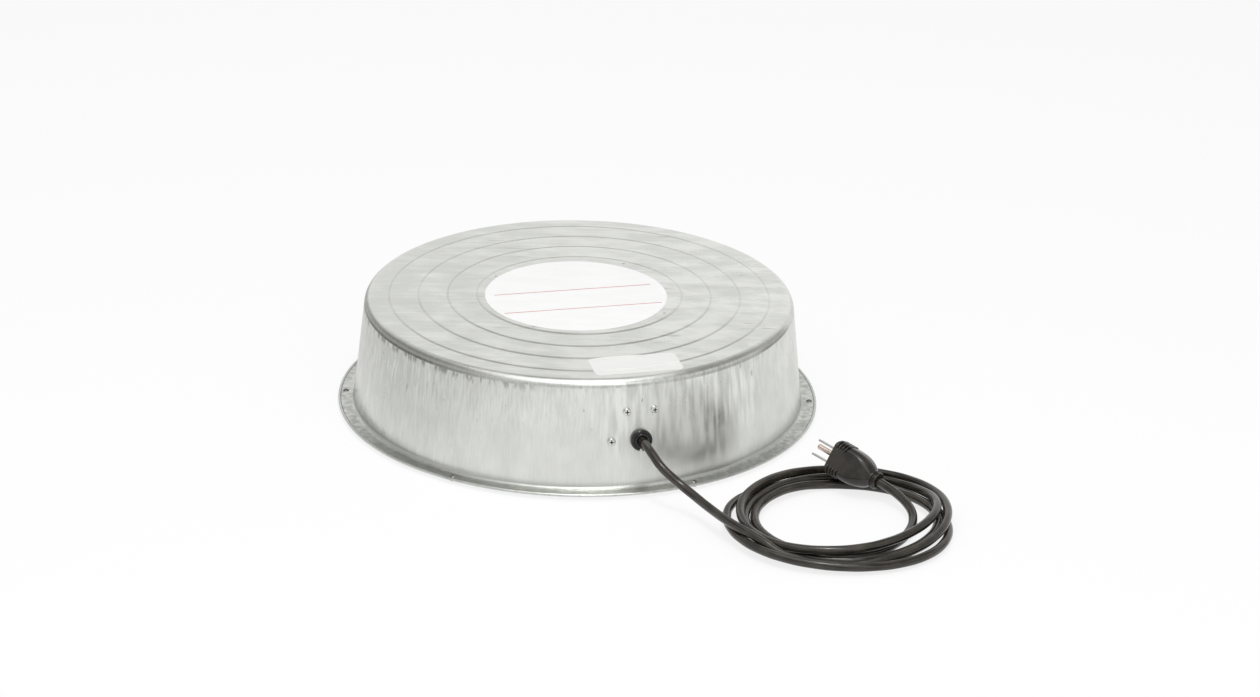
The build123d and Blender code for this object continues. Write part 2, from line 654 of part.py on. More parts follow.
def contact_blade():
    """Spring blade, held open by the pin, with the moving contact under its free end."""
    start = -HINGE_OFFSET - (CHAMBER_LENGTH / 2 - TAB_SHEET - HINGE_OFFSET) * 0.8
    end = CONTACT_OFFSET + CONTACT_DIAMETER / 2
    blade = Pos((start + end) / 2, 0, 0) * Box(end - start, BLADE_WIDTH, BLADE_SHEET, align=FROM_BELOW)
    button = Pos(CONTACT_OFFSET, 0, 0) * Cylinder(CONTACT_DIAMETER / 2, CONTACT_HEIGHT, align=FROM_ABOVE)
    return thermostat_plane * Pos(0, 0, blade_underside) * (blade + button)


def spade_connectors():
    """Push-on connectors, each with a slot for its tab and a bore for its wire."""
    sleeve = Box(CONNECTOR_THICKNESS, CONNECTOR_WIDTH, CONNECTOR_LENGTH, align=FROM_BELOW)
    slot_depth = tab_end + FIT - connector_start
    sleeve -= Box(TAB_SHEET + FIT, TAB_WIDTH + FIT, slot_depth, align=FROM_BELOW)
    bore = Cylinder(CORE_DIAMETER / 2 + SEAT_GAP, WIRE_GRIP, align=FROM_ABOVE)
    sleeve -= Pos(0, 0, CONNECTOR_LENGTH) * bore
    places = [Pos(side * tab_offset, 0, connector_start) for side in (-1, 1)]
    return Compound([thermostat_plane * place * sleeve for place in places])


def ground_ring():
    """Ring terminal on the ground screw, its barrel pointing down the wall."""
    ring = Cylinder(TERMINAL_RING_DIAMETER / 2, TERMINAL_SHEET, align=FROM_BELOW)
    tongue_length = TERMINAL_BARREL_START + TERMINAL_BARREL_LENGTH / 2
    tongue = Pos(0, tongue_length / 2, 0) * Box(TERMINAL_BARREL_DIAMETER, tongue_length, TERMINAL_SHEET, align=FROM_BELOW)
    middle = TERMINAL_BARREL_START + TERMINAL_BARREL_LENGTH / 2
    barrel = Cylinder(TERMINAL_BARREL_DIAMETER / 2, TERMINAL_BARREL_LENGTH)
    place = Pos(0, middle, TERMINAL_BARREL_DIAMETER / 2) * Rot(90, 0, 0)
    terminal = ring + tongue + place * barrel
    terminal -= Cylinder(SCREW_DIAMETER / 2 + FIT, 4 * TERMINAL_SHEET)
    terminal -= place * Cylinder(CORE_DIAMETER / 2 + SEAT_GAP, 2 * TERMINAL_BARREL_LENGTH)
    return ground_inside * Pos(0, 0, terminal_seat()) * terminal


def terminal_seat():
    """Distance of the ring terminal from the wall, so that its flat back clears the wall's curve."""
    radius = wall_radius(BUSHING_HEIGHT, PAN_SHEET)
    return radius - math.sqrt(radius**2 - TERMINAL_RING_DIAMETER**2 / 4) + FIT


def core_start(index):
    """Place of one core of the cord on the end of the jacket, in the bushing's own axes."""
    turn = math.radians(90 + 120 * index)
    return CORE_CIRCLE_RADIUS * math.cos(turn), CORE_CIRCLE_RADIUS * math.sin(turn)


def inside(plane, across, up, depth):
    """Point in the pan, given by a plane on its wall."""
    return plane.from_local_coords(Vector(across, up, depth))


def line_wire():
    """Live core, from the jacket's end round and back to the thermostat."""
    across, up = core_start(0)
    return wire(
        inside(bushing_plane, across, up, -STUB_LENGTH),
        inside(bushing_plane, across, up, -STUB_LENGTH - STRAIGHT_RUN),
        inside(thermostat_plane, -tab_offset, THERMOSTAT_RISE / 4, connector_end + 2 * STRAIGHT_RUN),
        inside(thermostat_plane, -tab_offset, 0, connector_end + STRAIGHT_RUN),
        inside(thermostat_plane, -tab_offset, 0, connector_end - WIRE_GRIP),
    )


def ground_wire():
    """Ground core, from the jacket's end down and up into the ring terminal."""
    across, up = core_start(1)
    lift = terminal_seat() + TERMINAL_BARREL_DIAMETER / 2
    barrel_end = TERMINAL_BARREL_START + TERMINAL_BARREL_LENGTH
    turn_depth = STUB_LENGTH + STRAIGHT_RUN
    return wire(
        inside(bushing_plane, across, up, -STUB_LENGTH),
        inside(bushing_plane, across, up, -turn_depth),
        inside(ground_inside, 0, barrel_end + STRAIGHT_RUN, turn_depth - PAN_SHEET),
        inside(ground_inside, 0, barrel_end + STRAIGHT_RUN, lift),
        inside(ground_inside, 0, barrel_end - WIRE_GRIP, lift),
    )


def splice_point(depth):
    """Point on the splice's axis at a depth from the end of the cord's jacket."""
    return inside(bushing_plane, *SPLICE_OFFSET, -STUB_LENGTH - depth)


def neutral_wire():
    """Neutral core, from the jacket's end into the splice."""
    across, up = core_start(2)
    return wire(
        inside(bushing_plane, across, up, -STUB_LENGTH),
        inside(bushing_plane, across, up, -STUB_LENGTH - STRAIGHT_RUN),
        splice_point(SPLICE_DISTANCE - STRAIGHT_RUN),
        splice_point(SPLICE_DISTANCE + WIRE_GRIP),
    )


def wire_splice():
    """Crimped sleeve between the neutral core and its heater lead."""
    sleeve = Cylinder(SPLICE_DIAMETER / 2, SPLICE_LENGTH, align=FROM_ABOVE)
    sleeve -= Cylinder(CORE_DIAMETER / 2 + SEAT_GAP, 3 * SPLICE_LENGTH)
    return bushing_plane * Pos(*SPLICE_OFFSET, -STUB_LENGTH - SPLICE_DISTANCE) * sleeve


def heater_line_lead():
    """Lead from the thermostat to the outer end of the ribbon."""
    end = lead_points()[1]
    start_level = thermostat_height - STRAIGHT_RUN
    return wire(
        inside(thermostat_plane, tab_offset, 0, connector_end - WIRE_GRIP),
        inside(thermostat_plane, tab_offset, 0, connector_end + STRAIGHT_RUN),
        (end.X, end.Y, start_level),
        (end.X, end.Y, lower_mica_top),
    )


def heater_neutral_lead():
    """Lead from the splice to the inner end of the ribbon."""
    end = lead_points()[0]
    return wire(
        splice_point(SPLICE_DISTANCE + SPLICE_LENGTH - WIRE_GRIP),
        splice_point(SPLICE_DISTANCE + SPLICE_LENGTH + STRAIGHT_RUN),
        (end.X, end.Y, thermostat_height - STRAIGHT_RUN),
        (end.X, end.Y, lower_mica_top),
    )


def smooth(values, position):
    """Value of a smooth curve through evenly spaced values, each span a cubic set by its neighbours."""
    last = len(values) - 1
    index = min(max(int(position), 0), last - 1)
    share = position - index
    before = values[max(index - 1, 0)]
    start = values[index]
    end = values[index + 1]
    after = values[min(index + 2, last)]
    bend = 2 * before - 5 * start + 4 * end - after
    twist = 3 * (start - end) + after - before
    return start + share / 2 * (end - before + share * (bend + share * twist))


def coil_point(turns):
    """Point of the coil after a number of turns, counted from the front."""
    radius = smooth(COIL_RADII, 4 * turns)
    heights = COIL_HEIGHTS + [CORD_DIAMETER / 2 + CORD_FLOOR_GAP] * 2
    height = smooth(heights, min(8 * turns, len(heights) - 1))
    angle = math.radians(360 * turns - 90)
    return Vector(COIL_CENTRE[0] + radius * math.cos(angle), COIL_CENTRE[1] + radius * math.sin(angle), height)


def coil_direction(turns):
    """Direction of the coil there."""
    step = 1e-4
    turns_in_all = (len(COIL_RADII) - 1) / 4
    before = coil_point(max(turns - step, 0))
    after = coil_point(min(turns + step, turns_in_all))
    return (after - before).normalized()


def biarc(start, start_direction, end, end_direction):
    """Two tangent arcs from one point and direction to another."""
    chord = end - start
    both = start_direction + end_direction
    spread = 2 * (1 - start_direction.dot(end_direction))
    reach = chord.dot(both)
    length = (math.sqrt(reach**2 + spread * chord.dot(chord)) - reach) / spread
    first = start + start_direction * length
    second = end - end_direction * length
    joint = (first + second) * 0.5
    return [
        Edge.make_tangent_arc(start, start_direction, joint),
        Edge.make_tangent_arc(joint, second - first, end),
    ]


def coil_path():
    """Path of the coil: arcs through eighths of a turn, with a straight end one diameter long at each side."""
    steps = 2 * (len(COIL_RADII) - 1)
    points = [coil_point(step / 8) for step in range(steps + 1)]
    directions = [coil_direction(step / 8) for step in range(steps + 1)]
    edges = [Edge.make_line(points[0] - directions[0] * CORD_DIAMETER, points[0])]
    for step in range(steps):
        edges += biarc(points[step], directions[step], points[step + 1], directions[step + 1])
    edges.append(Edge.make_line(points[-1], points[-1] + directions[-1] * CORD_DIAMETER))
    return Wire(edges)


def arc_radii(points):
    """Radius of the arc at each corner of a cord's route, as large as its two runs allow."""
    radii = []
    for before, corner, after in zip(points, points[1:], points[2:]):
        run_in = Vector(*corner) - Vector(*before)
        run_out = Vector(*after) - Vector(*corner)
        half_turn = math.radians(run_in.get_angle(run_out)) / 2
        radii.append(0.45 * min(run_in.length, run_out.length) / math.tan(half_turn))
    return radii


def cord_stretch(points, name):
    """Tube along a cord's free stretch, with its least arc radius and its length printed."""
    radii = arc_radii(points)
    path = FilletPolyline(*points, radius=radii)
    solid = tube(path, CORD_DIAMETER)
    true_volume = math.pi * CORD_DIAMETER**2 / 4 * path.length
    print(f"{name}: length {path.length:.1f}, volume ratio {solid.volume / true_volume:.4f}")
    print(f"{name}: arc radii {[round(radius, 1) for radius in radii]}")
    return solid


def cord_lead():
    """Cord from the bushing down to the front of the coil."""
    start = inside(bushing_plane, 0, 0, BUSHING_HEAD_LENGTH)
    out = inside(bushing_plane, 0, 0, BUSHING_HEAD_LENGTH + EXIT_RUN)
    end = coil_point(0) - coil_direction(0) * CORD_DIAMETER
    before_end = end - coil_direction(0) * LEAD_END_RUN
    points = [start, out] + [Vector(*point) for point in LEAD_POINTS] + [before_end, end]
    return cord_stretch([tuple(point) for point in points], "cord_lead")


def cord_tail():
    """Cord from the end of the coil up to the plug."""
    last_turn = (len(COIL_RADII) - 1) / 4
    start = coil_point(last_turn) + coil_direction(last_turn) * CORD_DIAMETER
    after_start = start + coil_direction(last_turn) * TAIL_START_RUN
    neck = Vector(*PLUG_NECK)
    before_neck = neck - plug_plane().z_dir * NECK_RUN
    points = [start, after_start] + [Vector(*point) for point in TAIL_POINTS] + [before_neck, neck]
    return cord_stretch([tuple(point) for point in points], "cord_tail")


def cord_coil():
    """Loose coil as one unbroken tube, with its least gap to itself printed."""
    path = coil_path()
    solid = tube(path, CORD_DIAMETER)
    true_volume = math.pi * CORD_DIAMETER**2 / 4 * path.length
    count = 80 * (len(COIL_RADII) - 1) // 4
    points = [path @ (index / count) for index in range(count + 1)]
    apart = 40
    gaps = [(a - b).length for i, a in enumerate(points) for b in points[i + apart :]]
    print(f"cord_coil: length {path.length:.1f}, volume ratio {solid.volume / true_volume:.4f}")
    print(f"cord_coil: least gap to itself {min(gaps) - CORD_DIAMETER:.2f}")
    return solid


def plug_plane():
    """Axes of the plug: origin where the cord goes in, Z towards the prongs, X across its broad side."""
    turn = math.radians(PLUG_AZIMUTH)
    tilt = math.radians(PLUG_TILT)
    axis = Vector(math.cos(turn) * math.cos(tilt), math.sin(turn) * math.cos(tilt), math.sin(tilt))
    broad = Vector(*PLUG_BROAD_SIDE)
    return Plane(PLUG_NECK, x_dir=broad - axis * broad.dot(axis), z_dir=axis)


def prong_places():
    """Places of the two blades and of the ground pin on the plug's face."""
    blades = [Pos(side * BLADE_SPACING / 2, -BLADE_TO_GROUND / 2, PLUG_LENGTH) for side in (-1, 1)]
    return blades, Pos(0, BLADE_TO_GROUND / 2, PLUG_LENGTH)


def plug_sections():
    """Levels and outlines of the plug's body, which swells fast from the collar and then ever more slowly."""
    neck = PLUG_COLLAR_DIAMETER
    neck_corner = neck / 2 - FIT
    sections = []
    for step in range(PLUG_SWELL_STEPS + 1):
        share = (step / PLUG_SWELL_STEPS) ** 2
        swell = 1 - (1 - share) ** 3
        width = neck + (PLUG_WIDTH - neck) * swell
        depth = neck + (PLUG_DEPTH - neck) * swell
        corner = neck_corner + (PLUG_CORNER - neck_corner) * swell
        level = PLUG_COLLAR_LENGTH + PLUG_SWELL_LENGTH * share
        sections.append((level, RectangleRounded(width, depth, corner)))
    return sections


def plug_rib():
    """One pair of finger ribs, on the two narrow sides and round their corners."""
    outline = RectangleRounded(PLUG_WIDTH + 2 * PLUG_RIB_HEIGHT, PLUG_DEPTH, PLUG_CORNER + PLUG_RIB_HEIGHT)
    outline -= Rectangle(PLUG_WIDTH - 2 * PLUG_RIB_REACH, 2 * PLUG_DEPTH)
    return extrude(outline, PLUG_RIB_WIDTH / 2, both=True)


def plug_body():
    """Moulded plug: ringed collar, swelling body, ribbed grips and sockets for the prongs."""
    collar = Cylinder(PLUG_COLLAR_DIAMETER / 2, PLUG_COLLAR_LENGTH, align=FROM_BELOW)
    groove_ring = Cylinder(PLUG_COLLAR_DIAMETER, PLUG_COLLAR_GROOVE)
    groove_ring -= Cylinder(PLUG_COLLAR_DIAMETER / 2 - PLUG_COLLAR_GROOVE / 2, 2 * PLUG_COLLAR_GROOVE)
    collar -= Pos(0, 0, PLUG_COLLAR_LENGTH / 3) * groove_ring
    collar -= Pos(0, 0, PLUG_COLLAR_LENGTH * 2 / 3) * groove_ring
    sections = [Pos(0, 0, level) * section for level, section in plug_sections()]
    grip = extrude(sections[-1], PLUG_LENGTH - PLUG_COLLAR_LENGTH - PLUG_SWELL_LENGTH)
    body = (loft(sections) + grip) & Box(2 * PLUG_WIDTH, PLUG_FLATS, 3 * PLUG_LENGTH)
    body = fillet(body.faces().sort_by(Axis.Z)[-1].edges(), PLUG_FACE_ROUND) + collar
    for index in range(PLUG_RIB_COUNT):
        body += Pos(0, 0, PLUG_LENGTH - PLUG_RIB_INSET - PLUG_RIB_PITCH * index) * plug_rib()
    blades, ground = prong_places()
    slot = Box(PLUG_BLADE_SHEET + FIT, PLUG_BLADE_WIDTH + FIT, PLUG_SOCKET_DEPTH + FIT, align=FROM_ABOVE)
    for place in blades:
        body -= place * slot
    body -= ground * Cylinder(PLUG_PIN_TAIL_DIAMETER / 2 + SEAT_GAP, PLUG_SOCKET_DEPTH + FIT, align=FROM_ABOVE)
    return plug_plane() * body


def plug_blades():
    """Two flat blades with bevelled tips, moulded into the plug's face."""
    length = PLUG_BLADE_LENGTH + PLUG_SOCKET_DEPTH
    blade = Box(PLUG_BLADE_SHEET, PLUG_BLADE_WIDTH, length, align=FROM_BELOW)
    tip = blade.edges().group_by(Axis.Z)[-1].filter_by(Axis.X)
    blade = Pos(0, 0, -PLUG_SOCKET_DEPTH) * chamfer(tip, PLUG_BLADE_CHAMFER)
    places = prong_places()[0]
    return Compound([plug_plane() * place * blade for place in places])


def plug_ground_pin():
    """Round ground pin, longer than the blades."""
    pin = Cylinder(PLUG_PIN_DIAMETER / 2, PLUG_PIN_LENGTH, align=FROM_BELOW)
    pin = fillet(pin.edges().sort_by(Axis.Z)[-1], PLUG_PIN_ROUND)
    pin += Cylinder(PLUG_PIN_TAIL_DIAMETER / 2, PLUG_SOCKET_DEPTH, align=FROM_ABOVE)
    return plug_plane() * prong_places()[1] * Pos(0, 0, SEAT_GAP) * pin


def stack_disc(radius, top, sheet):
    """Layer of the heater's stack with holes for the studs and the leads."""
    return disc(radius, top, sheet) - stud_holes() - lead_holes(LEAD_HOLE_DIAMETER)


NODES = {
    "pan_shell": pan_shell(),
    "base_plate": base_plate(),
    "flange_rivets": flange_rivets(),
    "centre_label": centre_label(),
    "rating_label": rating_label(),
    "heater_upper_sheet": disc(mica_radius, upper_mica_top, MICA_SHEET),
    "heater_ribbon": heater_ribbon(),
    "heater_lower_sheet": disc(mica_radius, lower_mica_top, MICA_SHEET) - lead_holes(CORE_DIAMETER + 2 * FIT),
    "heater_plate": stack_disc(plate_radius, plate_top, PLATE_SHEET),
    "insulation_pad": stack_disc(plate_radius, pad_top, PAD_THICKNESS),
    "heat_shield": heat_shield(),
    "weld_studs": weld_studs(),
    "stud_washers": stud_washers(),
    "stud_nuts": stud_nuts(),
    "strain_relief": strain_relief(),
    "cord_stub": cord_stub(),
    "thermostat_screws": Compound([plane * wall_screw(BRACKET_SHEET) for plane in screw_planes()[:2]]),
    "thermostat_nuts": Compound([plane * wall_nut(BRACKET_SHEET) for plane in screw_planes()[:2]]),
    "thermostat_bracket": thermostat_bracket(),
    "thermostat_cup": thermostat_cup(),
    "snap_disc": snap_disc(),
    "transfer_pin": transfer_pin(),
    "thermostat_body": thermostat_body(),
    "thermostat_cover": thermostat_cover(),
    "line_terminal": line_terminal(),
    "load_terminal": load_terminal(),
    "contact_blade": contact_blade(),
    "spade_connectors": spade_connectors(),
    "ground_screw": ground_plane * wall_screw(TERMINAL_SHEET + terminal_seat()),
    "ground_ring": ground_ring(),
    "ground_nut": ground_plane * wall_nut(TERMINAL_SHEET + terminal_seat()),
    "line_wire": line_wire(),
    "neutral_wire": neutral_wire(),
    "ground_wire": ground_wire(),
    "wire_splice": wire_splice(),
    "heater_line_lead": heater_line_lead(),
    "heater_neutral_lead": heater_neutral_lead(),
    "cord_lead": cord_lead(),
    "cord_coil": cord_coil(),
    "cord_tail": cord_tail(),
    "plug_body": plug_body(),
    "plug_blades": plug_blades(),
    "plug_ground_pin": plug_ground_pin(),
}

os.makedirs("parts", exist_ok=True)
for name, shape in NODES.items():
    export_step(shape, f"parts/{name}.step")

hinge = thermostat_plane.from_local_coords(Vector(-HINGE_OFFSET, 0, blade_underside))
print("snap slide axis", thermostat_plane.z_dir)
print("blade hinge at", hinge, "axis", thermostat_plane.y_dir)
print("plug face at", plug_plane().from_local_coords(Vector(0, 0, PLUG_LENGTH)), "axis", plug_plane().z_dir)
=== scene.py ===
import math

import bpy
import numpy as np
from mathutils import Matrix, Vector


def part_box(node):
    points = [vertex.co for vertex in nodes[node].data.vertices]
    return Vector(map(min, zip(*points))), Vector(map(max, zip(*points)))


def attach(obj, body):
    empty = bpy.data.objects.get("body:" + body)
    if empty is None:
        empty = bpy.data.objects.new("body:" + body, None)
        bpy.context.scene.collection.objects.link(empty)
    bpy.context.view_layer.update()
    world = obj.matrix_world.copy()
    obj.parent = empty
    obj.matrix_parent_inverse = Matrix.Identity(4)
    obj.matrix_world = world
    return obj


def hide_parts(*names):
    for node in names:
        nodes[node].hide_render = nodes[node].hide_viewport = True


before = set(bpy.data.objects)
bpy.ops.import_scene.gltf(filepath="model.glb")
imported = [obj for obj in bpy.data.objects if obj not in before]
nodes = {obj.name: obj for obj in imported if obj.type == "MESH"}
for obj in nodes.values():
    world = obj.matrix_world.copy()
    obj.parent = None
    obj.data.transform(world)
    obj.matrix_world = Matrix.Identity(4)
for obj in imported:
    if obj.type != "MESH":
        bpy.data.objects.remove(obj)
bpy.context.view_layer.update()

# Pan
# One disc of galvanised steel sheet, deep drawn into a shallow tapered pan that stands upside down.
# Its flat end has four pressed rings, each a little higher towards the middle, and its rim is a narrow flange.
PAN_SHEET = 0.0008
FLANGE_WIDTH = 0.0110
WALL_TAPER = math.radians(6.0)
TOP_CORNER = 0.0070
FOOT_CORNER = 0.0036
RING_COUNT = 4
RING_PITCH = 0.0254
RING_INSET = 0.0209
RING_WIDTH = 0.0055
RING_DEPTH = 0.0006
RING_STEP = 0.0004
GROOVE_WIDTH = 0.0034
PUCKER_HEIGHT = 0.00022
FOLD_HEIGHT = 0.00020
FLUTE_HEIGHT = 0.00007
PAN_MIDDLE = 0.0004
PAN_COLUMNS = 820
STUD_CIRCLE = 0.0830
STUD_AZIMUTH = math.radians(-117.0)

pan_low, pan_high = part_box("pan_shell")
flange_radius = pan_high[0]
flange_underside = pan_low[2]
flange_top = flange_underside + PAN_SHEET
pan_top = pan_high[2]
edge_top = pan_top - RING_COUNT * RING_STEP
foot_radius = flange_radius - FLANGE_WIDTH
corner_radius = foot_radius - (edge_top - flange_top) * math.tan(WALL_TAPER)
ring_radii = corner_radius - RING_INSET - RING_PITCH * np.arange(RING_COUNT)


def top_height(radius):
    """Height of the top: each ring is a step with smooth ends plus a groove shaped as a sine squared."""
    height = np.full_like(radius, pan_top)
    for ring in ring_radii:
        share = np.clip((radius - ring) / RING_WIDTH + 0.5, 0, 1)
        height -= RING_STEP * share * share * (3 - 2 * share)
        share = np.clip((radius - ring) / GROOVE_WIDTH + 0.5, 0, 1)
        height -= (RING_DEPTH - RING_STEP / 2) * np.sin(np.pi * share) ** 2
    return height


def bend(corner, before, after, radius, count):
    """Points of an arc that rounds a corner between two directions: centre plus radius times a turning unit vector."""
    before = np.array(before) / np.linalg.norm(before)
    after = np.array(after) / np.linalg.norm(after)
    half = math.acos(float(np.dot(before, after))) / 2
    middle = (before + after) / np.linalg.norm(before + after)
    inward = (after - before) / np.linalg.norm(after - before)
    centre = np.array(corner) + inward * radius / math.cos(half)
    turn = np.linspace(-half, half, count)[:, None]
    return centre + radius * (np.sin(turn) * middle - np.cos(turn) * inward)


def pan_outline():
    """Half section of the pan's outer face, from just beside the middle of the top to the edge of the flange:
    the ringed top, the rounded corner, the sloping wall, the foot's bend and the flange."""
    down = (math.sin(WALL_TAPER), -math.cos(WALL_TAPER))
    corner = bend((corner_radius, edge_top), (1, 0), down, TOP_CORNER, 13)
    foot = bend((foot_radius, flange_top), down, (1, 0), FOOT_CORNER, 7)
    grooves = (ring_radii[:, None] + RING_WIDTH * np.linspace(-0.5, 0.5, 11)).ravel()
    radius = np.unique(np.concatenate([np.linspace(PAN_MIDDLE, corner[0, 0], 12)[:-1], grooves]))
    top = np.stack([radius, top_height(radius)], axis=1)
    wall = np.linspace(corner[-1], foot[0], 18)[1:-1]
    flange = np.stack([np.linspace(foot[-1, 0], flange_radius, 5)[1:], np.full(4, flange_top)], axis=1)
    return np.concatenate([top, corner, wall, foot, flange])


def offset_line(line, depth):
    """The same line moved sideways, to the right of its direction of travel, by a depth."""
    along = np.gradient(line, axis=0)
    along /= np.linalg.norm(along, axis=1, keepdims=True)
    return line + depth * np.stack([along[:, 1], -along[:, 0]], axis=1)


def surface(name, grid, closed=False):
    """Mesh of a grid of points whose columns go round. The first and last rows are each capped by a middle point,
    unless the rows close on themselves. The UV map gives the share of the turn and the length along, in metres."""
    rows, columns = grid.shape[:2]
    index = np.arange(rows * columns).reshape(rows, columns)
    lower = np.roll(index, -1, axis=0) if closed else index[1:]
    upper = index if closed else index[:-1]
    quads = np.stack([upper, lower, np.roll(lower, -1, 1), np.roll(upper, -1, 1)], axis=-1).reshape(-1, 4)
    points = grid.reshape(-1, 3)
    faces = quads.tolist()
    if not closed:
        points = np.concatenate([points, grid[[0, -1]].mean(axis=1)])
        pole = rows * columns
        first, last = index[0], index[-1]
        faces += np.stack([np.full(columns, pole), first, np.roll(first, -1)], axis=1).tolist()
        faces += np.stack([np.full(columns, pole + 1), np.roll(last, -1), last], axis=1).tolist()
    mesh = bpy.data.meshes.new(name)
    mesh.from_pydata(points.tolist(), [], faces)
    step = np.linalg.norm(np.diff(grid, axis=0), axis=2).mean(axis=1)
    along = np.concatenate([[0], np.cumsum(step)])
    around = np.arange(columns + 1) / columns
    row = np.repeat(np.arange(len(upper)), columns)
    column = np.tile(np.arange(columns), len(upper))
    end = np.append(along, along[-1])[row + 1]
    uv = np.zeros((len(mesh.loops), 2))
    uv[: 4 * len(quads), 0] = around[np.stack([column, column, column + 1, column + 1], 1)].ravel()
    uv[: 4 * len(quads), 1] = np.stack([along[row], end, end, along[row]], 1).ravel()
    mesh.uv_layers.new(name="UVMap").data.foreach_set("uv", uv.ravel())
    mesh.shade_smooth()
    mesh.set_sharp_from_angle(angle=math.radians(50))
    piece = bpy.data.objects.new(name, mesh)
    bpy.context.scene.collection.objects.link(piece)
    return piece


def ripple(turn, least, most, count, seed):
    """Random wavy line round a circle: a sum of cosines with whole numbers of waves."""
    draw = np.random.default_rng(seed)
    waves = draw.integers(least, most, count)
    phases = draw.uniform(0, 2 * np.pi, count)
    return np.cos(turn[:, None] * waves + phases).sum(axis=1) / math.sqrt(count / 2)


def hump(turn, middle, width):
    """Bell curve about one direction of the circle, given in degrees."""
    apart = (turn - math.radians(middle) + np.pi) % (2 * np.pi) - np.pi
    return np.exp(-((apart / math.radians(width)) ** 2))


def pan_grid():
    """The outline turned about the axis and closed by its inner face, one sheet deeper and with fewer rows. The wall
    has waves: puckers that hang from the corner, taller folds beside the cord and shallow flutes from top to foot."""
    outer = pan_outline()
    inner = offset_line(outer, PAN_SHEET)[::-1]
    inner = np.concatenate([inner[:32:2], inner[32:-1:7], inner[-1:]])
    line = np.concatenate([outer, inner])
    turn = np.linspace(0, 2 * np.pi, PAN_COLUMNS, endpoint=False)
    radius = np.repeat(line[:, :1], PAN_COLUMNS, axis=1)
    height = np.repeat(line[:, 1:], PAN_COLUMNS, axis=1)
    below = np.clip((edge_top - TOP_CORNER / 2 - height) / (edge_top - flange_top), 0, 1)
    on_wall = np.sin(np.pi * np.clip(below / 0.97, 0, 1)) ** 0.6 * (radius > corner_radius - TOP_CORNER)
    strength = 0.55 + hump(turn, -140, 28) + 0.7 * hump(turn, 40, 40) + 0.6 * hump(turn, 150, 25)
    puckers = ripple(turn, 120, 170, 10, 4) * strength * np.exp(-below / 0.15)
    folds = ripple(turn, 85, 150, 10, 21) * (hump(turn, -59, 13) + 0.6 * hump(turn, 95, 25)) * np.exp(-below / 0.8)
    flutes = ripple(turn, 30, 110, 18, 9)
    radius = radius + on_wall * (PUCKER_HEIGHT * puckers + FOLD_HEIGHT * folds + FLUTE_HEIGHT * flutes)
    return np.stack([radius * np.cos(turn), radius * np.sin(turn), height], axis=-1)


def add(tree, kind, settings=None, **sockets):
    """New shader node, with its settings and the values or links of its sockets."""
    made = tree.nodes.new(kind)
    for name, value in (settings or {}).items():
        setattr(made, name, value)
    for name, value in sockets.items():
        fill(tree, made.inputs[name.replace("_", " ")], value)
    return made


def fill(tree, socket, value):
    """Links a socket to an output, or sets its value."""
    if hasattr(value, "is_output"):
        tree.links.new(value, socket)
    else:
        socket.default_value = value


def calc(tree, operation, *values):
    """One operation on one or more values."""
    made = tree.nodes.new("ShaderNodeMath")
    made.operation = operation
    for socket, value in zip(made.inputs, values):
        fill(tree, socket, value)
    return made.outputs[0]


def chain(tree, operation, values):
    """One operation carried along a row of values."""
    total = values[0]
    for value in values[1:]:
        total = calc(tree, operation, total, value)
    return total


def product(tree, *values):
    """Product of values."""
    return chain(tree, "MULTIPLY", values)


def greatest(tree, *values):
    """Largest of values."""
    return chain(tree, "MAXIMUM", values)


def weighted(tree, *pairs):
    """Sum of values, each times its weight."""
    return chain(tree, "ADD", [product(tree, value, weight) for value, weight in pairs])


def new_material(name, **sockets):
    """Material with a principled shader whose constant values are set on its sockets, its node tree and the shader."""
    made = bpy.data.materials.new(name)
    made.use_nodes = True
    shader = made.node_tree.nodes["Principled BSDF"]
    for socket, value in sockets.items():
        shader.inputs[socket.replace("_", " ")].default_value = value
    return made, made.node_tree, shader


def place(tree, stretch=(1, 1, 1), turn=0.0, space="Object"):
    """The piece's own coordinates, turned about the Z axis and stretched."""
    spot = add(tree, "ShaderNodeTexCoord").outputs[space]
    return add(tree, "ShaderNodeMapping", Vector=spot, Scale=stretch, Rotation=(0, 0, turn)).outputs[0]


def noise(tree, scale, detail=4.0, stretch=(1, 1, 1), turn=0.0, space="Object"):
    """Random value about one half that changes over the piece."""
    spot = place(tree, stretch, turn, space)
    return add(tree, "ShaderNodeTexNoise", Vector=spot, Scale=scale, Detail=detail, Roughness=0.6).outputs["Fac"]


def ramp(tree, value, low, high, start=0.0, end=1.0):
    """Value carried from the range low to high onto the range start to end, with smooth ends."""
    made = add(tree, "ShaderNodeMapRange", {"interpolation_type": "SMOOTHSTEP"}, Value=value)
    made.inputs["From Min"].default_value, made.inputs["From Max"].default_value = low, high
    made.inputs["To Min"].default_value, made.inputs["To Max"].default_value = start, end
    return made.outputs[0]


def mix(tree, share, first, second):
    """Colour between two colours."""
    made = add(tree, "ShaderNodeMix", {"data_type": "RGBA"})
    for socket, value in zip((made.inputs[0], made.inputs[6], made.inputs[7]), (share, first, second)):
        fill(tree, socket, (*value, 1) if isinstance(value, tuple) else value)
    return made.outputs[2]


def bump(tree, shader, height, strength, distance):
    """Fine relief from a value."""
    made = add(tree, "ShaderNodeBump", Height=height, Strength=strength, Distance=distance)
    tree.links.new(made.outputs[0], shader.inputs["Normal"])


def towards(tree, azimuth, width):
    """One in a direction from the axis, falling to nothing at a width to either side, both in degrees."""
    turned = add(tree, "ShaderNodeSeparateXYZ", Vector=place(tree, turn=-math.radians(azimuth))).outputs
    return ramp(tree, turned[0], corner_radius * math.cos(math.radians(width)), corner_radius)


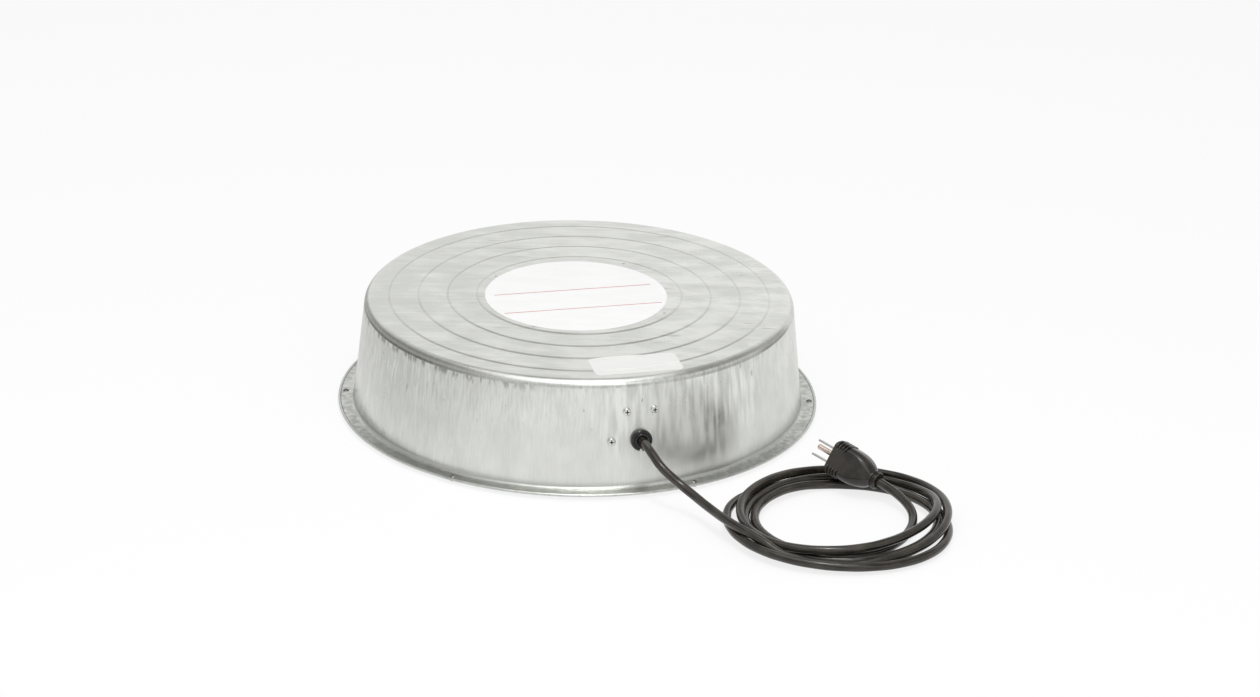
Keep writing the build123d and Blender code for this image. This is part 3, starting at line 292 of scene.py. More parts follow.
def weld_marks(tree):
    """Four small spots on one circle, where the heater's studs are welded on below."""
    turned = add(tree, "ShaderNodeSeparateXYZ", Vector=place(tree, turn=-STUD_AZIMUTH)).outputs
    sides = [calc(tree, "ABSOLUTE", turned[0]), calc(tree, "ABSOLUTE", turned[1])]
    outward = calc(tree, "SUBTRACT", greatest(tree, *sides), STUD_CIRCLE)
    sideways = calc(tree, "MINIMUM", *sides)
    square = weighted(tree, (outward, outward), (sideways, sideways))
    return ramp(tree, calc(tree, "SQRT", square), 0.0017, 0.0008)


def ring_groove_shade(tree):
    """Painted shade in the pressed rings, as lines at even steps of the distance from the axis."""
    across = add(tree, "ShaderNodeVectorMath", {"operation": "LENGTH"})
    tree.links.new(place(tree, (1, 1, 0)), across.inputs[0])
    ring = ring_radii[0]
    nearest = calc(tree, "WRAP", across.outputs["Value"], ring + RING_PITCH / 2, ring - RING_PITCH / 2)
    apart = calc(tree, "ABSOLUTE", calc(tree, "SUBTRACT", nearest, ring))
    return ramp(tree, apart, GROOVE_WIDTH * 0.42, GROOVE_WIDTH * 0.10)


def layer(tree, height, low, soft_low, soft_high, high):
    """One between two heights below the top's edge, fading out over the two soft stretches."""
    rise = ramp(tree, height, edge_top - low, edge_top - soft_low)
    return product(tree, rise, ramp(tree, height, edge_top - high, edge_top - soft_high))


def corner_painted_reflection(tree, height, broad):
    """Painted dark reflection on the rounded corner between two fine lines: a full band on the left and far sides and
    at the end of the right, the two lines alone on the right, and broken traces of them along the front."""
    band = layer(tree, height, 0.0074, 0.0060, 0.0020, 0.0004)
    upper_line = layer(tree, height, 0.0032, 0.0024, 0.0014, 0.0004)
    lower_line = layer(tree, height, 0.0074, 0.0063, 0.0055, 0.0038)
    sides = [(towards(tree, -156, 55), 1.05), (towards(tree, 70, 75), 0.4), (towards(tree, -24, 13), 0.85)]
    full = weighted(tree, (band, 0.56), (upper_line, 0.18), (lower_line, 0.46))
    full = product(tree, full, weighted(tree, *sides), ramp(tree, broad, 0.3, 0.6, 0.8, 1.0))
    front = weighted(tree, (lower_line, 1.0), (upper_line, 0.25))
    front = product(tree, front, ramp(tree, broad, 0.38, 0.62, 0.05, 0.32))
    right = weighted(tree, (lower_line, 0.50), (upper_line, 0.38))
    return greatest(tree, full, front, product(tree, right, towards(tree, -40, 32)))


def wall_stains_and_shade(tree, height, upper, off_top):
    """Stains and painted shade on the puckers under the corner, mostly on the left, and painted shade of a few
    small dents in the upper wall.
    """
    pucker_stain_and_shade = ramp(tree, noise(tree, 190, 1, (1, 1, 0.2)), 0.46, 0.60)
    pucker_place = weighted(tree, (towards(tree, -140, 48), 0.55), (off_top, 0.12))
    pucker_stain_and_shade = product(tree, pucker_stain_and_shade, layer(tree, height, 0.0135, 0.0075, 0.0062, 0.0050), pucker_place)
    dent_shade = ramp(tree, noise(tree, 380, 0, (1, 1, 0.35)), 0.75, 0.82)
    dent_place = product(tree, upper, ramp(tree, noise(tree, 26, 2), 0.46, 0.60), off_top)
    return greatest(tree, pucker_stain_and_shade, product(tree, dent_shade, dent_place, 0.48))


def top_marks_and_shade(tree, cloud, on_top):
    """Painted shade in the rings, scuffs and weld marks on the flat top."""
    ring = product(tree, ring_groove_shade(tree), ramp(tree, cloud, 0.35, 0.65, 0.5, 1.0), 0.26)
    scuff = ramp(tree, noise(tree, 260, 1, (0.08, 1, 1), 1.1), 0.68, 0.75)
    scuff = product(tree, scuff, ramp(tree, noise(tree, 22, 2), 0.50, 0.62), 0.4)
    return product(tree, greatest(tree, ring, scuff, product(tree, weld_marks(tree), 0.6)), on_top)


def wall_tone(tree, height, upper, left, broad):
    """Tone of the drawn wall about one half: fine vertical streaks that fade towards the foot and to the right,
    soft clouds, painted light and shade of the folds beside the cord, and painted shade on the left and right sides."""
    fine = noise(tree, 560, 2, (1, 1, 0.035))
    streak = calc(tree, "SUBTRACT", weighted(tree, (broad, 0.2), (fine, 0.8)), 0.5)
    streak = product(tree, streak, ramp(tree, upper, 0, 1, 0.35, 1.0), ramp(tree, left, 0, 1, 0.55, 1.25))
    mottle = calc(tree, "SUBTRACT", noise(tree, 42, 5, (1, 1, 0.6)), 0.5)
    # Painted light and shade of the folds beside the cord.
    fold_light_and_shade = calc(tree, "SUBTRACT", noise(tree, 175, 1, (1, 1, 0.09)), 0.5)
    fold_light_and_shade = product(tree, fold_light_and_shade, towards(tree, -60, 27), ramp(tree, height, flange_top + 0.020, flange_top + 0.055))
    # Painted shade on the left and right sides of the wall.
    side_shade = [(left, -0.08), (towards(tree, -12, 50), -0.06)]
    return calc(tree, "ADD", weighted(tree, (streak, 0.8), (mottle, 0.26), (fold_light_and_shade, 1.1), *side_shade), 0.5)


def drawn_zinc():
    """Zinc-coated sheet: a streaked wall with painted shade at its foot, rolling marks and rubbed patches on the flat
    top, a dull mottled flange painted darker in front as shade, and dark marks, painted shade and a painted dark
    reflection over all of them."""
    made, tree, shader = new_material("drawn_zinc", Metallic=1.0)
    axes = add(tree, "ShaderNodeSeparateXYZ", Vector=place(tree)).outputs
    height = axes[2]
    on_top = ramp(tree, height, edge_top - 0.003, edge_top)
    off_top = calc(tree, "SUBTRACT", 1.0, on_top)
    on_flange = ramp(tree, height, flange_top + 0.0014, flange_top + 0.0005)
    upper = ramp(tree, height, flange_top + 0.022, edge_top - 0.010)
    left = towards(tree, -175, 70)
    broad = noise(tree, 140, 3, (1, 1, 0.08))
    cloud = noise(tree, 16, 5)

    wall = wall_tone(tree, height, upper, left, broad)
    wall_colour = mix(tree, ramp(tree, wall, 0.32, 0.66), (0.62, 0.63, 0.595), (0.83, 0.84, 0.805))
    rolled = noise(tree, 300, 4, (0.03, 1, 1), 0.12)
    smear = noise(tree, 58, 6, (0.5, 1, 1), 0.9)
    fall = ramp(tree, axes[0], 0.05, -0.15)
    flat = weighted(tree, (rolled, 0.25), (cloud, 0.32), (smear, 0.43), (fall, -0.05))
    flat_colour = mix(tree, ramp(tree, flat, 0.38, 0.60), (0.65, 0.66, 0.625), (0.81, 0.82, 0.785))
    rubbed = product(tree, ramp(tree, smear, 0.46, 0.64), ramp(tree, axes[0], 0.03, 0.12))
    flat_colour = mix(tree, product(tree, rubbed, 0.75), flat_colour, (0.88, 0.89, 0.86))
    rim_colour = mix(tree, ramp(tree, noise(tree, 170, 6), 0.36, 0.64), (0.50, 0.51, 0.48), (0.74, 0.75, 0.72))
    # The flange is painted darker towards the front, as shade.
    rim_colour = mix(tree, product(tree, towards(tree, -95, 75), 0.70), rim_colour, (0.35, 0.352, 0.335))

    colour = mix(tree, on_top, wall_colour, flat_colour)
    # Painted shade along the foot of the wall, deeper on the left.
    foot_shade = ramp(tree, height, flange_top + 0.007, flange_top + 0.0020)
    foot_shade = product(tree, foot_shade, ramp(tree, left, 0.10, 1, 0.36, 0.62))
    colour = mix(tree, foot_shade, colour, (0.36, 0.37, 0.34))
    colour = mix(tree, on_flange, colour, rim_colour)
    # Dark marks with painted shade: stains and painted shade on the puckers and dents, a painted dark reflection on
    # the corner, painted shade in the rings, and scuffs and weld marks.
    stains_and_shade = wall_stains_and_shade(tree, height, upper, off_top)
    marks = greatest(tree, corner_painted_reflection(tree, height, broad), stains_and_shade, top_marks_and_shade(tree, cloud, on_top))
    tree.links.new(mix(tree, marks, colour, (0.17, 0.17, 0.155)), shader.inputs["Base Color"])

    rough = weighted(tree, (ramp(tree, cloud, 0.3, 0.7, 0.26, 0.36), 1.0), (rubbed, 0.08), (on_flange, 0.12))
    tree.links.new(rough, shader.inputs["Roughness"])
    relief = weighted(tree, (product(tree, wall, off_top), 1.0), (product(tree, flat, on_top), 0.2))
    bump(tree, shader, relief, 0.28, 0.0004)
    return made


pan = surface("pan", pan_grid(), closed=True)
pan.data.materials.append(drawn_zinc())
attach(pan, "base")
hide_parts("pan_shell")

# Base plate and rivets
# Pressed disc of the same sheet, dished in the middle, with a wired edge that the pan's flange sits inside.
# Six aluminium blind rivets through the flange hold it on.


def dress(made, *names):
    """Puts a material on carried-over nodes."""
    for name in names:
        for slot in nodes[name].material_slots:
            slot.material = made


def metal(name, colour, roughness, scale, stretch=(1, 1, 1), contrast=0.22):
    """Bare metal with grain and dull patches."""
    made, tree, shader = new_material(name, Metallic=1.0)
    grain = noise(tree, scale, 5, stretch)
    patch = noise(tree, scale / 12, 4)
    share = ramp(tree, weighted(tree, (grain, 0.5), (patch, 0.5)), 0.36, 0.64)
    dark = tuple(part * (1 - contrast) for part in colour)
    tree.links.new(mix(tree, share, dark, colour), shader.inputs["Base Color"])
    tree.links.new(ramp(tree, patch, 0.3, 0.7, roughness - 0.06, roughness + 0.08), shader.inputs["Roughness"])
    bump(tree, shader, grain, 0.2, 0.0002)
    return made


dress(metal("pressed_zinc", (0.66, 0.67, 0.64), 0.36, 240), "base_plate")
# The rivets are painted dark, as the shade round their heads.
dress(metal("rivet_aluminium", (0.24, 0.24, 0.23), 0.32, 900), "flange_rivets")

# Stickers
# A round white vinyl sticker in the middle of the top, plain but for two thin red rules, and a small bare rectangular
# one near the front edge. They are glued on, and the small one follows the rings below it.
LABEL_TURN = math.radians(13.9)
RULE_LEVELS = (0.0128, -0.0291)
RULE_HALF_LENGTH = 0.0696
RULE_HALF_WIDTH = 0.00045
RULE_COLOUR = (0.50, 0.03, 0.03)
STICKER_LENGTH = 0.0760
STICKER_WIDTH = 0.0360
STICKER_CORNER = 0.0050
STICKER_SHEET = 0.00015
STICKER_AZIMUTH = math.radians(-71.3)
STICKER_OFFSET = 0.0038
STICKER_TURN = math.radians(14.6)
STICKER_COLUMNS = 240
STICKER_ROWS = 44


def vinyl(name, colour, roughness):
    """Coated vinyl with a faint unevenness and a few dull smears."""
    made, tree, shader = new_material(name, Specular_IOR_Level=0.35)
    smear = noise(tree, 70, 5, (0.3, 1, 1), 0.4)
    fine = noise(tree, 2200, 2)
    dull = tuple(part * 0.97 for part in colour)
    tint = mix(tree, ramp(tree, smear, 0.35, 0.65), dull, colour)
    tree.links.new(ramp(tree, smear, 0.3, 0.7, roughness + 0.08, roughness - 0.04), shader.inputs["Roughness"])
    bump(tree, shader, calc(tree, "ADD", smear, product(tree, fine, 0.05)), 0.12, 0.0003)
    return made, tree, shader, tint


def ruled_vinyl():
    """The round sticker: its two rules lie along one direction, which is turned a little from the front."""
    made, tree, shader, tint = vinyl("round_sticker", (0.95, 0.95, 0.945), 0.55)
    low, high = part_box("centre_label")
    middle = tuple(-(a + b) / 2 for a, b in zip(low, high))
    spot = add(tree, "ShaderNodeTexCoord").outputs["Object"]
    moved = add(tree, "ShaderNodeVectorMath", {"operation": "ADD"})
    tree.links.new(spot, moved.inputs[0])
    moved.inputs[1].default_value = middle
    turned = add(tree, "ShaderNodeMapping", Vector=moved.outputs[0], Rotation=(0, 0, -LABEL_TURN)).outputs[0]
    axes = add(tree, "ShaderNodeSeparateXYZ", Vector=turned).outputs
    reach = calc(tree, "ABSOLUTE", axes[0])
    ends = ramp(tree, reach, RULE_HALF_LENGTH + 0.0004, RULE_HALF_LENGTH - 0.0004)
    for level in RULE_LEVELS:
        apart = calc(tree, "ABSOLUTE", calc(tree, "SUBTRACT", axes[1], level))
        line = ramp(tree, apart, RULE_HALF_WIDTH * 1.4, RULE_HALF_WIDTH * 0.6)
        tint = mix(tree, product(tree, line, ends), tint, RULE_COLOUR)
    tree.links.new(tint, shader.inputs["Base Color"])
    return made


def rounded_ring(width, depth, corner, columns):
    """Outline of a rectangle with round corners, with its points evenly spaced."""
    turn = np.linspace(0, 2 * np.pi, 1441)
    across = np.sign(np.cos(turn).round(9)) * (width / 2 - corner) + corner * np.cos(turn)
    deep = np.sign(np.sin(turn).round(9)) * (depth / 2 - corner) + corner * np.sin(turn)
    length = np.append(0, np.cumsum(np.hypot(np.diff(across), np.diff(deep))))
    even = np.linspace(0, length[-1], columns, endpoint=False)
    return np.stack([np.interp(even, length, across), np.interp(even, length, deep)], axis=1)


def sticker_grid():
    """The sticker's outline widened from its middle and drawn in again below, then turned and moved to its place,
    with every point laid on the pan's top."""
    outline = rounded_ring(STICKER_LENGTH, STICKER_WIDTH, STICKER_CORNER, STICKER_COLUMNS)
    share = np.linspace(0.01, 1, STICKER_ROWS)
    flat = np.concatenate([share, share[::-1]])[:, None, None] * outline
    distance = ring_radii[0] - RING_PITCH / 2 + STICKER_OFFSET
    cosine, sine = math.cos(STICKER_TURN), math.sin(STICKER_TURN)
    across = distance * math.cos(STICKER_AZIMUTH) + flat[..., 0] * cosine - flat[..., 1] * sine
    deep = distance * math.sin(STICKER_AZIMUTH) + flat[..., 0] * sine + flat[..., 1] * cosine
    lift = np.repeat([STICKER_SHEET, 0.1 * STICKER_SHEET], len(share))
    return np.stack([across, deep, top_height(np.hypot(across, deep)) + lift[:, None]], axis=-1)


dress(ruled_vinyl(), "centre_label")
plain_vinyl, tree, shader, tint = vinyl("plain_sticker", (0.83, 0.83, 0.81), 0.50)
tree.links.new(tint, shader.inputs["Base Color"])
sticker = surface("sticker", sticker_grid())
sticker.data.materials.append(plain_vinyl)
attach(sticker, "base")
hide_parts("rating_label")

# Strain relief and wall screws
# Moulded black nylon bushing of two halves, snapped into the wall round the cord, with a stepped head.
# Two zinc-plated screws above it hold the thermostat and one beside it holds the ground wire.
CORD_AZIMUTH = math.radians(-73.0)
BUSHING_HEIGHT = 0.0456
BUSHING_HEAD_LENGTH = 0.0050
BUSHING_LINE = [
    (4.00, 4.30), (4.35, 4.80), (4.80, 5.00), (5.90, 5.00), (6.25, 4.80), (6.40, 4.40), (6.55, 3.95), (6.90, 3.80),
    (7.25, 3.95), (7.50, 4.25), (8.10, 4.20), (8.65, 3.95), (9.05, 3.50), (9.25, 2.90), (9.30, 2.20), (9.30, 0.35),
    (9.15, 0.05), (7.90, 0.00), (7.80, -0.20), (7.80, -8.50), (7.40, -9.00), (4.20, -9.00), (4.00, -8.60),
]
NOTCH_TURN = math.radians(-97.0)
NOTCH_HALF_WIDTH = 0.0013
NOTCH_FLOOR = 0.0066
SEAM_TURN = math.radians(8.0)
SEAM_HALF_WIDTH = 0.00035
SEAM_DEPTH = 0.0004
SEAM_LEVEL = 0.0030
BUSHING_COLUMNS = 216
SCREW_HEAD_HEIGHT = 0.0024
SCREW_RECESS_REACH = 0.0021
SCREW_RISE = 0.0254
SCREW_ASIDE = 0.0119
GROUND_ASIDE = 0.0254


def heading(azimuth, tilt):
    """Unit vector from its turn about the Z axis and its climb."""
    level = math.cos(tilt)
    return np.array([math.cos(azimuth) * level, math.sin(azimuth) * level, math.sin(tilt)])


def wall_axes(azimuth, height):
    """Point of the pan's outer wall, with the directions along the wall, up the wall and square to it."""
    radius = foot_radius - (height - flange_top) * math.tan(WALL_TAPER)
    point = np.array([radius * math.cos(azimuth), radius * math.sin(azimuth), height])
    outward = heading(azimuth, WALL_TAPER)
    along = np.array([-math.sin(azimuth), math.cos(azimuth), 0])
    return point, along, np.cross(outward, along), outward


def bushing_grid():
    """The section, given as radius and level in millimetres, turned about the cord, with a notch in the head's edge
    and a fine parting line across its face."""
    line = np.array(BUSHING_LINE) * 0.001
    turn = np.linspace(0, 2 * np.pi, BUSHING_COLUMNS, endpoint=False)
    radius = np.repeat(line[:, :1], BUSHING_COLUMNS, axis=1)
    level = np.repeat(line[:, 1:], BUSHING_COLUMNS, axis=1)
    aside = np.abs(np.sin(turn - NOTCH_TURN)) * radius
    near = (np.cos(turn - NOTCH_TURN) > 0) * np.clip((NOTCH_HALF_WIDTH + 0.0002 - aside) / 0.0004, 0, 1)
    in_head = (level >= 0) & (radius > NOTCH_FLOOR)
    radius = radius - near * in_head * (radius - NOTCH_FLOOR)
    seam = np.clip(1 - np.abs(np.sin(turn - SEAM_TURN)) * radius / SEAM_HALF_WIDTH, 0, 1)
    level = level - SEAM_DEPTH * seam * (level > SEAM_LEVEL)
    point, along, upward, outward = wall_axes(CORD_AZIMUTH, BUSHING_HEIGHT)
    ring = np.cos(turn)[:, None] * along + np.sin(turn)[:, None] * upward
    return point + radius[..., None] * ring + level[..., None] * outward


def moulded(name, colour, roughness, grain=900, contrast=1.35):
    """Moulded plastic or rubber: slight unevenness of colour and sheen, and a fine moulded grain."""
    made, tree, shader = new_material(name, Specular_IOR_Level=0.5)
    patch = noise(tree, grain / 14, 4)
    fine = noise(tree, grain, 3)
    lit = tuple(min(1.0, part * contrast + 0.002) for part in colour)
    tree.links.new(mix(tree, ramp(tree, patch, 0.35, 0.68), colour, lit), shader.inputs["Base Color"])
    tree.links.new(ramp(tree, patch, 0.3, 0.7, roughness - 0.05, roughness + 0.07), shader.inputs["Roughness"])
    bump(tree, shader, fine, 0.18, 0.0002)
    return made


bushing = surface("bushing", bushing_grid(), closed=True)
bushing.data.materials.append(moulded("black_nylon", (0.010, 0.010, 0.009), 0.11, 1400))
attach(bushing, "base")
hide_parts("strain_relief")


def screw_zinc():
    """Bright zinc plate with painted shade in the cross recesses: what is near the middle of a head's top, but deeper.
    """
    made = metal("screw_zinc", (0.74, 0.74, 0.72), 0.16, 1100)
    tree = made.node_tree
    socket = tree.nodes["Principled BSDF"].inputs["Base Color"]
    colour = socket.links[0].from_socket
    spot = place(tree)
    for aside, rise in ((-SCREW_ASIDE, SCREW_RISE), (SCREW_ASIDE, SCREW_RISE), (-GROUND_ASIDE, 0.0)):
        level = BUSHING_HEIGHT + rise
        turn = 2 * math.asin(aside / 2 / (foot_radius - (level - flange_top) * math.tan(WALL_TAPER)))
        point, along, upward, outward = wall_axes(CORD_AZIMUTH + turn, level)
        apart = add(tree, "ShaderNodeVectorMath", {"operation": "SUBTRACT"})
        tree.links.new(spot, apart.inputs[0])
        apart.inputs[1].default_value = point + outward * SCREW_HEAD_HEIGHT
        reach = add(tree, "ShaderNodeVectorMath", {"operation": "LENGTH"})
        tree.links.new(apart.outputs[0], reach.inputs[0])
        climb = add(tree, "ShaderNodeVectorMath", {"operation": "DOT_PRODUCT"})
        tree.links.new(apart.outputs[0], climb.inputs[0])
        climb.inputs[1].default_value = outward
        close = ramp(tree, reach.outputs["Value"], SCREW_RECESS_REACH + 0.0001, SCREW_RECESS_REACH - 0.0001)
        # Painted shade in the cross recess.
        recess_shade = product(tree, close, ramp(tree, climb.outputs["Value"], -0.0001, -0.0003))
        colour = mix(tree, recess_shade, colour, (0.03, 0.03, 0.028))
    tree.links.new(colour, socket)
    return made


dress(screw_zinc(), "thermostat_screws", "ground_screw")

# Heater
# A resistance ribbon between two mica sheets, pressed against the underside of the top by a plate and a felt pad.
# A sheet shield on four welded studs closes the stack, with a washer and a nut on each stud.


def fibre(name, colour, scale):
    """Felted or braided fibre: crossing strands with lighter tips."""
    made, tree, shader = new_material(name, Roughness=0.9, Specular_IOR_Level=0.2)
    warp = noise(tree, scale, 5, (1, 0.15, 1), 0.5)
    weft = noise(tree, scale, 5, (0.15, 1, 1), 0.2)
    strands = greatest(tree, warp, weft)
    dark = tuple(part * 0.7 for part in colour)
    tree.links.new(mix(tree, ramp(tree, strands, 0.42, 0.7), dark, colour), shader.inputs["Base Color"])
    bump(tree, shader, strands, 0.6, 0.0006)
    return made


def mica():
    """Pressed mica: overlapping flakes with a pearly sheen."""
    made, tree, shader = new_material("mica", Roughness=0.35, Specular_IOR_Level=0.6)
    flakes = add(tree, "ShaderNodeTexVoronoi", Vector=place(tree), Scale=140.0)
    tone = calc(tree, "ADD", product(tree, flakes.outputs["Distance"], 0.5), noise(tree, 60, 4))
    colour = mix(tree, ramp(tree, tone, 0.45, 0.95), (0.36, 0.30, 0.20), (0.62, 0.55, 0.42))
    tree.links.new(colour, shader.inputs["Base Color"])
    bump(tree, shader, flakes.outputs["Distance"], 0.25, 0.0003)
    return made


dress(mica(), "heater_upper_sheet", "heater_lower_sheet")
dress(metal("resistance_ribbon", (0.45, 0.43, 0.40), 0.40, 700, contrast=0.35), "heater_ribbon")
dress(metal("rolled_aluminium", (0.78, 0.78, 0.79), 0.34, 400, (0.05, 1, 1)), "heater_plate")
dress(fibre("felt", (0.80, 0.77, 0.70), 900), "insulation_pad")
dress(metal("shield_zinc", (0.64, 0.65, 0.63), 0.36, 220), "heat_shield")
dress(metal("fastener_zinc", (0.68, 0.68, 0.66), 0.30, 1000), "weld_studs", "stud_washers", "stud_nuts")

# Thermostat
# Snap disc in a drawn cup against the wall: the disc pushes a ceramic pin, which lifts a spring blade off its contact.
# The phenolic body carries two brass tabs, and a bracket under the two wall screws holds the whole.
dress(metal("bracket_steel", (0.66, 0.66, 0.65), 0.34, 500), "thermostat_bracket")
dress(metal("drawn_aluminium", (0.80, 0.80, 0.80), 0.28, 600), "thermostat_cup")
dress(metal("bimetal", (0.58, 0.54, 0.47), 0.32, 800, (0.1, 1, 1), 0.3), "snap_disc")
dress(moulded("fired_ceramic", (0.80, 0.78, 0.72), 0.55, 1600), "transfer_pin")
dress(moulded("phenolic", (0.040, 0.028, 0.020), 0.30, 1200), "thermostat_body", "thermostat_cover")
brass = metal("stamped_brass", (0.78, 0.60, 0.28), 0.28, 900, contrast=0.3)
dress(brass, "line_terminal", "load_terminal", "ground_ring")
dress(metal("spring_bronze", (0.74, 0.52, 0.34), 0.26, 900, (0.1, 1, 1), 0.25), "contact_blade")
dress(metal("nut_zinc", (0.66, 0.66, 0.64), 0.30, 1000), "thermostat_nuts", "ground_nut")

# Wiring
# The cord's three cores in coloured insulation and two heater leads in glass braid, with push-on connectors,
# a ring terminal on the ground screw and a crimped splice.
dress(moulded("black_insulation", (0.018, 0.018, 0.018), 0.42), "line_wire")
dress(moulded("white_insulation", (0.76, 0.76, 0.74), 0.42), "neutral_wire")
dress(moulded("green_insulation", (0.030, 0.22, 0.065), 0.42), "ground_wire")
dress(moulded("blue_sleeve", (0.045, 0.11, 0.36), 0.36), "spade_connectors")
dress(metal("crimped_tin", (0.62, 0.63, 0.64), 0.32, 900), "wire_splice")
dress(fibre("glass_braid", (0.74, 0.71, 0.63), 2600), "heater_line_lead", "heater_neutral_lead")

# Plug
# Moulded rubber plug: a ringed collar round the cord, a swelling body with two flat sides and finger ribs on the
# narrow sides. Two plated blades and a brass ground pin are moulded into its face.
PLUG_NECK = np.array([0.2554, -0.1953, 0.0176])
PLUG_AZIMUTH = math.radians(142.4)
PLUG_TILT = math.radians(12.2)
PLUG_BROAD_SIDE = np.array([0.4295, 0.2502, 0.8677])
PLUG_LENGTH = 0.0465
PLUG_WIDTH = 0.0294
PLUG_DEPTH = 0.0250
PLUG_FLATS = 0.0228
PLUG_CORNER = 0.0080
PLUG_FACE_ROUND = 0.0020
PLUG_COLLAR = 0.0152
PLUG_COLLAR_LENGTH = 0.0055
PLUG_COLLAR_CORNER = 0.0075
PLUG_GROOVE = 0.0012
PLUG_GROOVE_DEPTH = 0.0009
PLUG_SWELL_LENGTH = 0.0275
PLUG_GRIP_START = 0.0310
PLUG_RIB_COUNT = 4
PLUG_RIB_PITCH = 0.0030
PLUG_RIB_WIDTH = 0.0017
PLUG_RIB_HEIGHT = 0.0009
PLUG_RIB_INSET = 0.0032
PLUG_RIB_REACH = 0.0075
PLUG_NOTCH_DEPTH = 0.0009
PLUG_MOUTH = [(1.0, 7.8), (1.0, 9.3), (0.1, 9.6), (0.0, 10.2), (0.0, 14.0), (0.25, 14.8)]
PLUG_COLUMNS = 128


def unit(vector):
    """The same direction, one long."""
    return vector / np.linalg.norm(vector)


def pulse(value, middle, half_width, edge):
    """One inside a band, falling smoothly to nothing over its edges."""
    share = np.clip((half_width + edge / 2 - abs(value - middle)) / edge, 0, 1)
    return share * share * (3 - 2 * share)


def plug_ring(level):
    """Outline of the plug at a level: collar grooves, then the swell with its flats, and the rounded edge of the face.
    Ribs and the notches between them move the outline out and in on the narrow sides."""
    share = np.clip((level - PLUG_COLLAR_LENGTH) / PLUG_SWELL_LENGTH, 0, 1)
    swell = 1 - (1 - share) ** 3
    grooves = sum(pulse(level, PLUG_COLLAR_LENGTH * part / 3, PLUG_GROOVE / 2, 0.0003) for part in (1, 2))
    over = max(0.0, level - PLUG_LENGTH + PLUG_FACE_ROUND)
    inset = PLUG_FACE_ROUND - math.sqrt(max(0.0, PLUG_FACE_ROUND**2 - over**2)) + PLUG_GROOVE_DEPTH * grooves
    corner = PLUG_COLLAR_CORNER + (PLUG_CORNER - PLUG_COLLAR_CORNER) * swell - inset
    width = PLUG_COLLAR + (PLUG_WIDTH - PLUG_COLLAR) * swell - 2 * inset
    depth = PLUG_COLLAR + (PLUG_DEPTH - PLUG_COLLAR) * swell - 2 * inset
    ring = rounded_ring(width, depth, corner, PLUG_COLUMNS)
    flat = PLUG_FLATS / 2 - inset
    height = np.abs(ring[:, 1])
    height = (height + flat - np.sqrt((height - flat) ** 2 + 0.0004**2)) / 2 + 0.0002
    ring[:, 1] = np.sign(ring[:, 1]) * np.minimum(height, np.abs(ring[:, 1]))
    first_rib = PLUG_LENGTH - PLUG_RIB_INSET
    last_notch = first_rib - PLUG_RIB_PITCH * PLUG_RIB_COUNT + PLUG_RIB_WIDTH / 2
    rib_levels = first_rib - PLUG_RIB_PITCH * np.arange(PLUG_RIB_COUNT)
    ribs = sum(pulse(level, rib_level, PLUG_RIB_WIDTH / 2, 0.0004) for rib_level in rib_levels)
    grip = pulse(level, (first_rib + last_notch) / 2, (first_rib - last_notch) / 2, 0.0004)
    lift = PLUG_RIB_HEIGHT * ribs - PLUG_NOTCH_DEPTH * grip * (1 - ribs)
    reach = np.clip((np.abs(ring[:, 0]) - width / 2 + PLUG_RIB_REACH) / 0.0025, 0, 1)
    outward = np.roll(ring, -1, axis=0) - np.roll(ring, 1, axis=0)
    outward = np.stack([outward[:, 1], -outward[:, 0]], axis=1) / np.linalg.norm(outward, axis=1, keepdims=True)
    return ring + outward * (lift * reach * reach * (3 - 2 * reach))[:, None]


def plug_grid():
    """Outlines of the plug in its own axes, then placed on the cord's end: the mouth round the cord, given as level
    and width in millimetres, the collar, the swell, the grip and the face with its rounded edge."""
    collar = np.linspace(0.0006, PLUG_COLLAR_LENGTH, 32)
    swell = np.linspace(PLUG_COLLAR_LENGTH, PLUG_GRIP_START, 30)[1:]
    grip = np.linspace(PLUG_GRIP_START, PLUG_LENGTH - PLUG_FACE_ROUND, 72)[1:]
    edge = PLUG_LENGTH - PLUG_FACE_ROUND + PLUG_FACE_ROUND * np.sin(np.linspace(0, np.pi / 2, 8))[1:]
    mouth = np.array(PLUG_MOUTH) * 0.001
    rows = [(level, rounded_ring(width, width, width * 0.49, PLUG_COLUMNS)) for level, width in mouth]
    rows += [(level, plug_ring(level)) for level in np.concatenate([collar, swell, grip, edge])]
    rows.append((PLUG_LENGTH, rows[-1][1] * 0.6))
    levels = np.array([level for level, ring in rows])
    rings = np.array([ring for level, ring in rows])[:, ::-1]
    axis = heading(PLUG_AZIMUTH, PLUG_TILT)
    across = unit(PLUG_BROAD_SIDE - axis * PLUG_BROAD_SIDE.dot(axis))
    deep = np.cross(axis, across)
    return PLUG_NECK + rings[..., :1] * across + rings[..., 1:] * deep + levels[:, None, None] * axis


plug = surface("plug", plug_grid())
plug.data.materials.append(moulded("plug_rubber", (0.012, 0.0098, 0.0074), 0.28, 900, 2.8))
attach(plug, "base")
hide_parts("plug_body")
dress(metal("plated_blades", (0.60, 0.59, 0.56), 0.22, 900, (1, 1, 0.1)), "plug_blades")
dress(metal("pin_brass", (0.74, 0.61, 0.54), 0.24, 900), "plug_ground_pin")

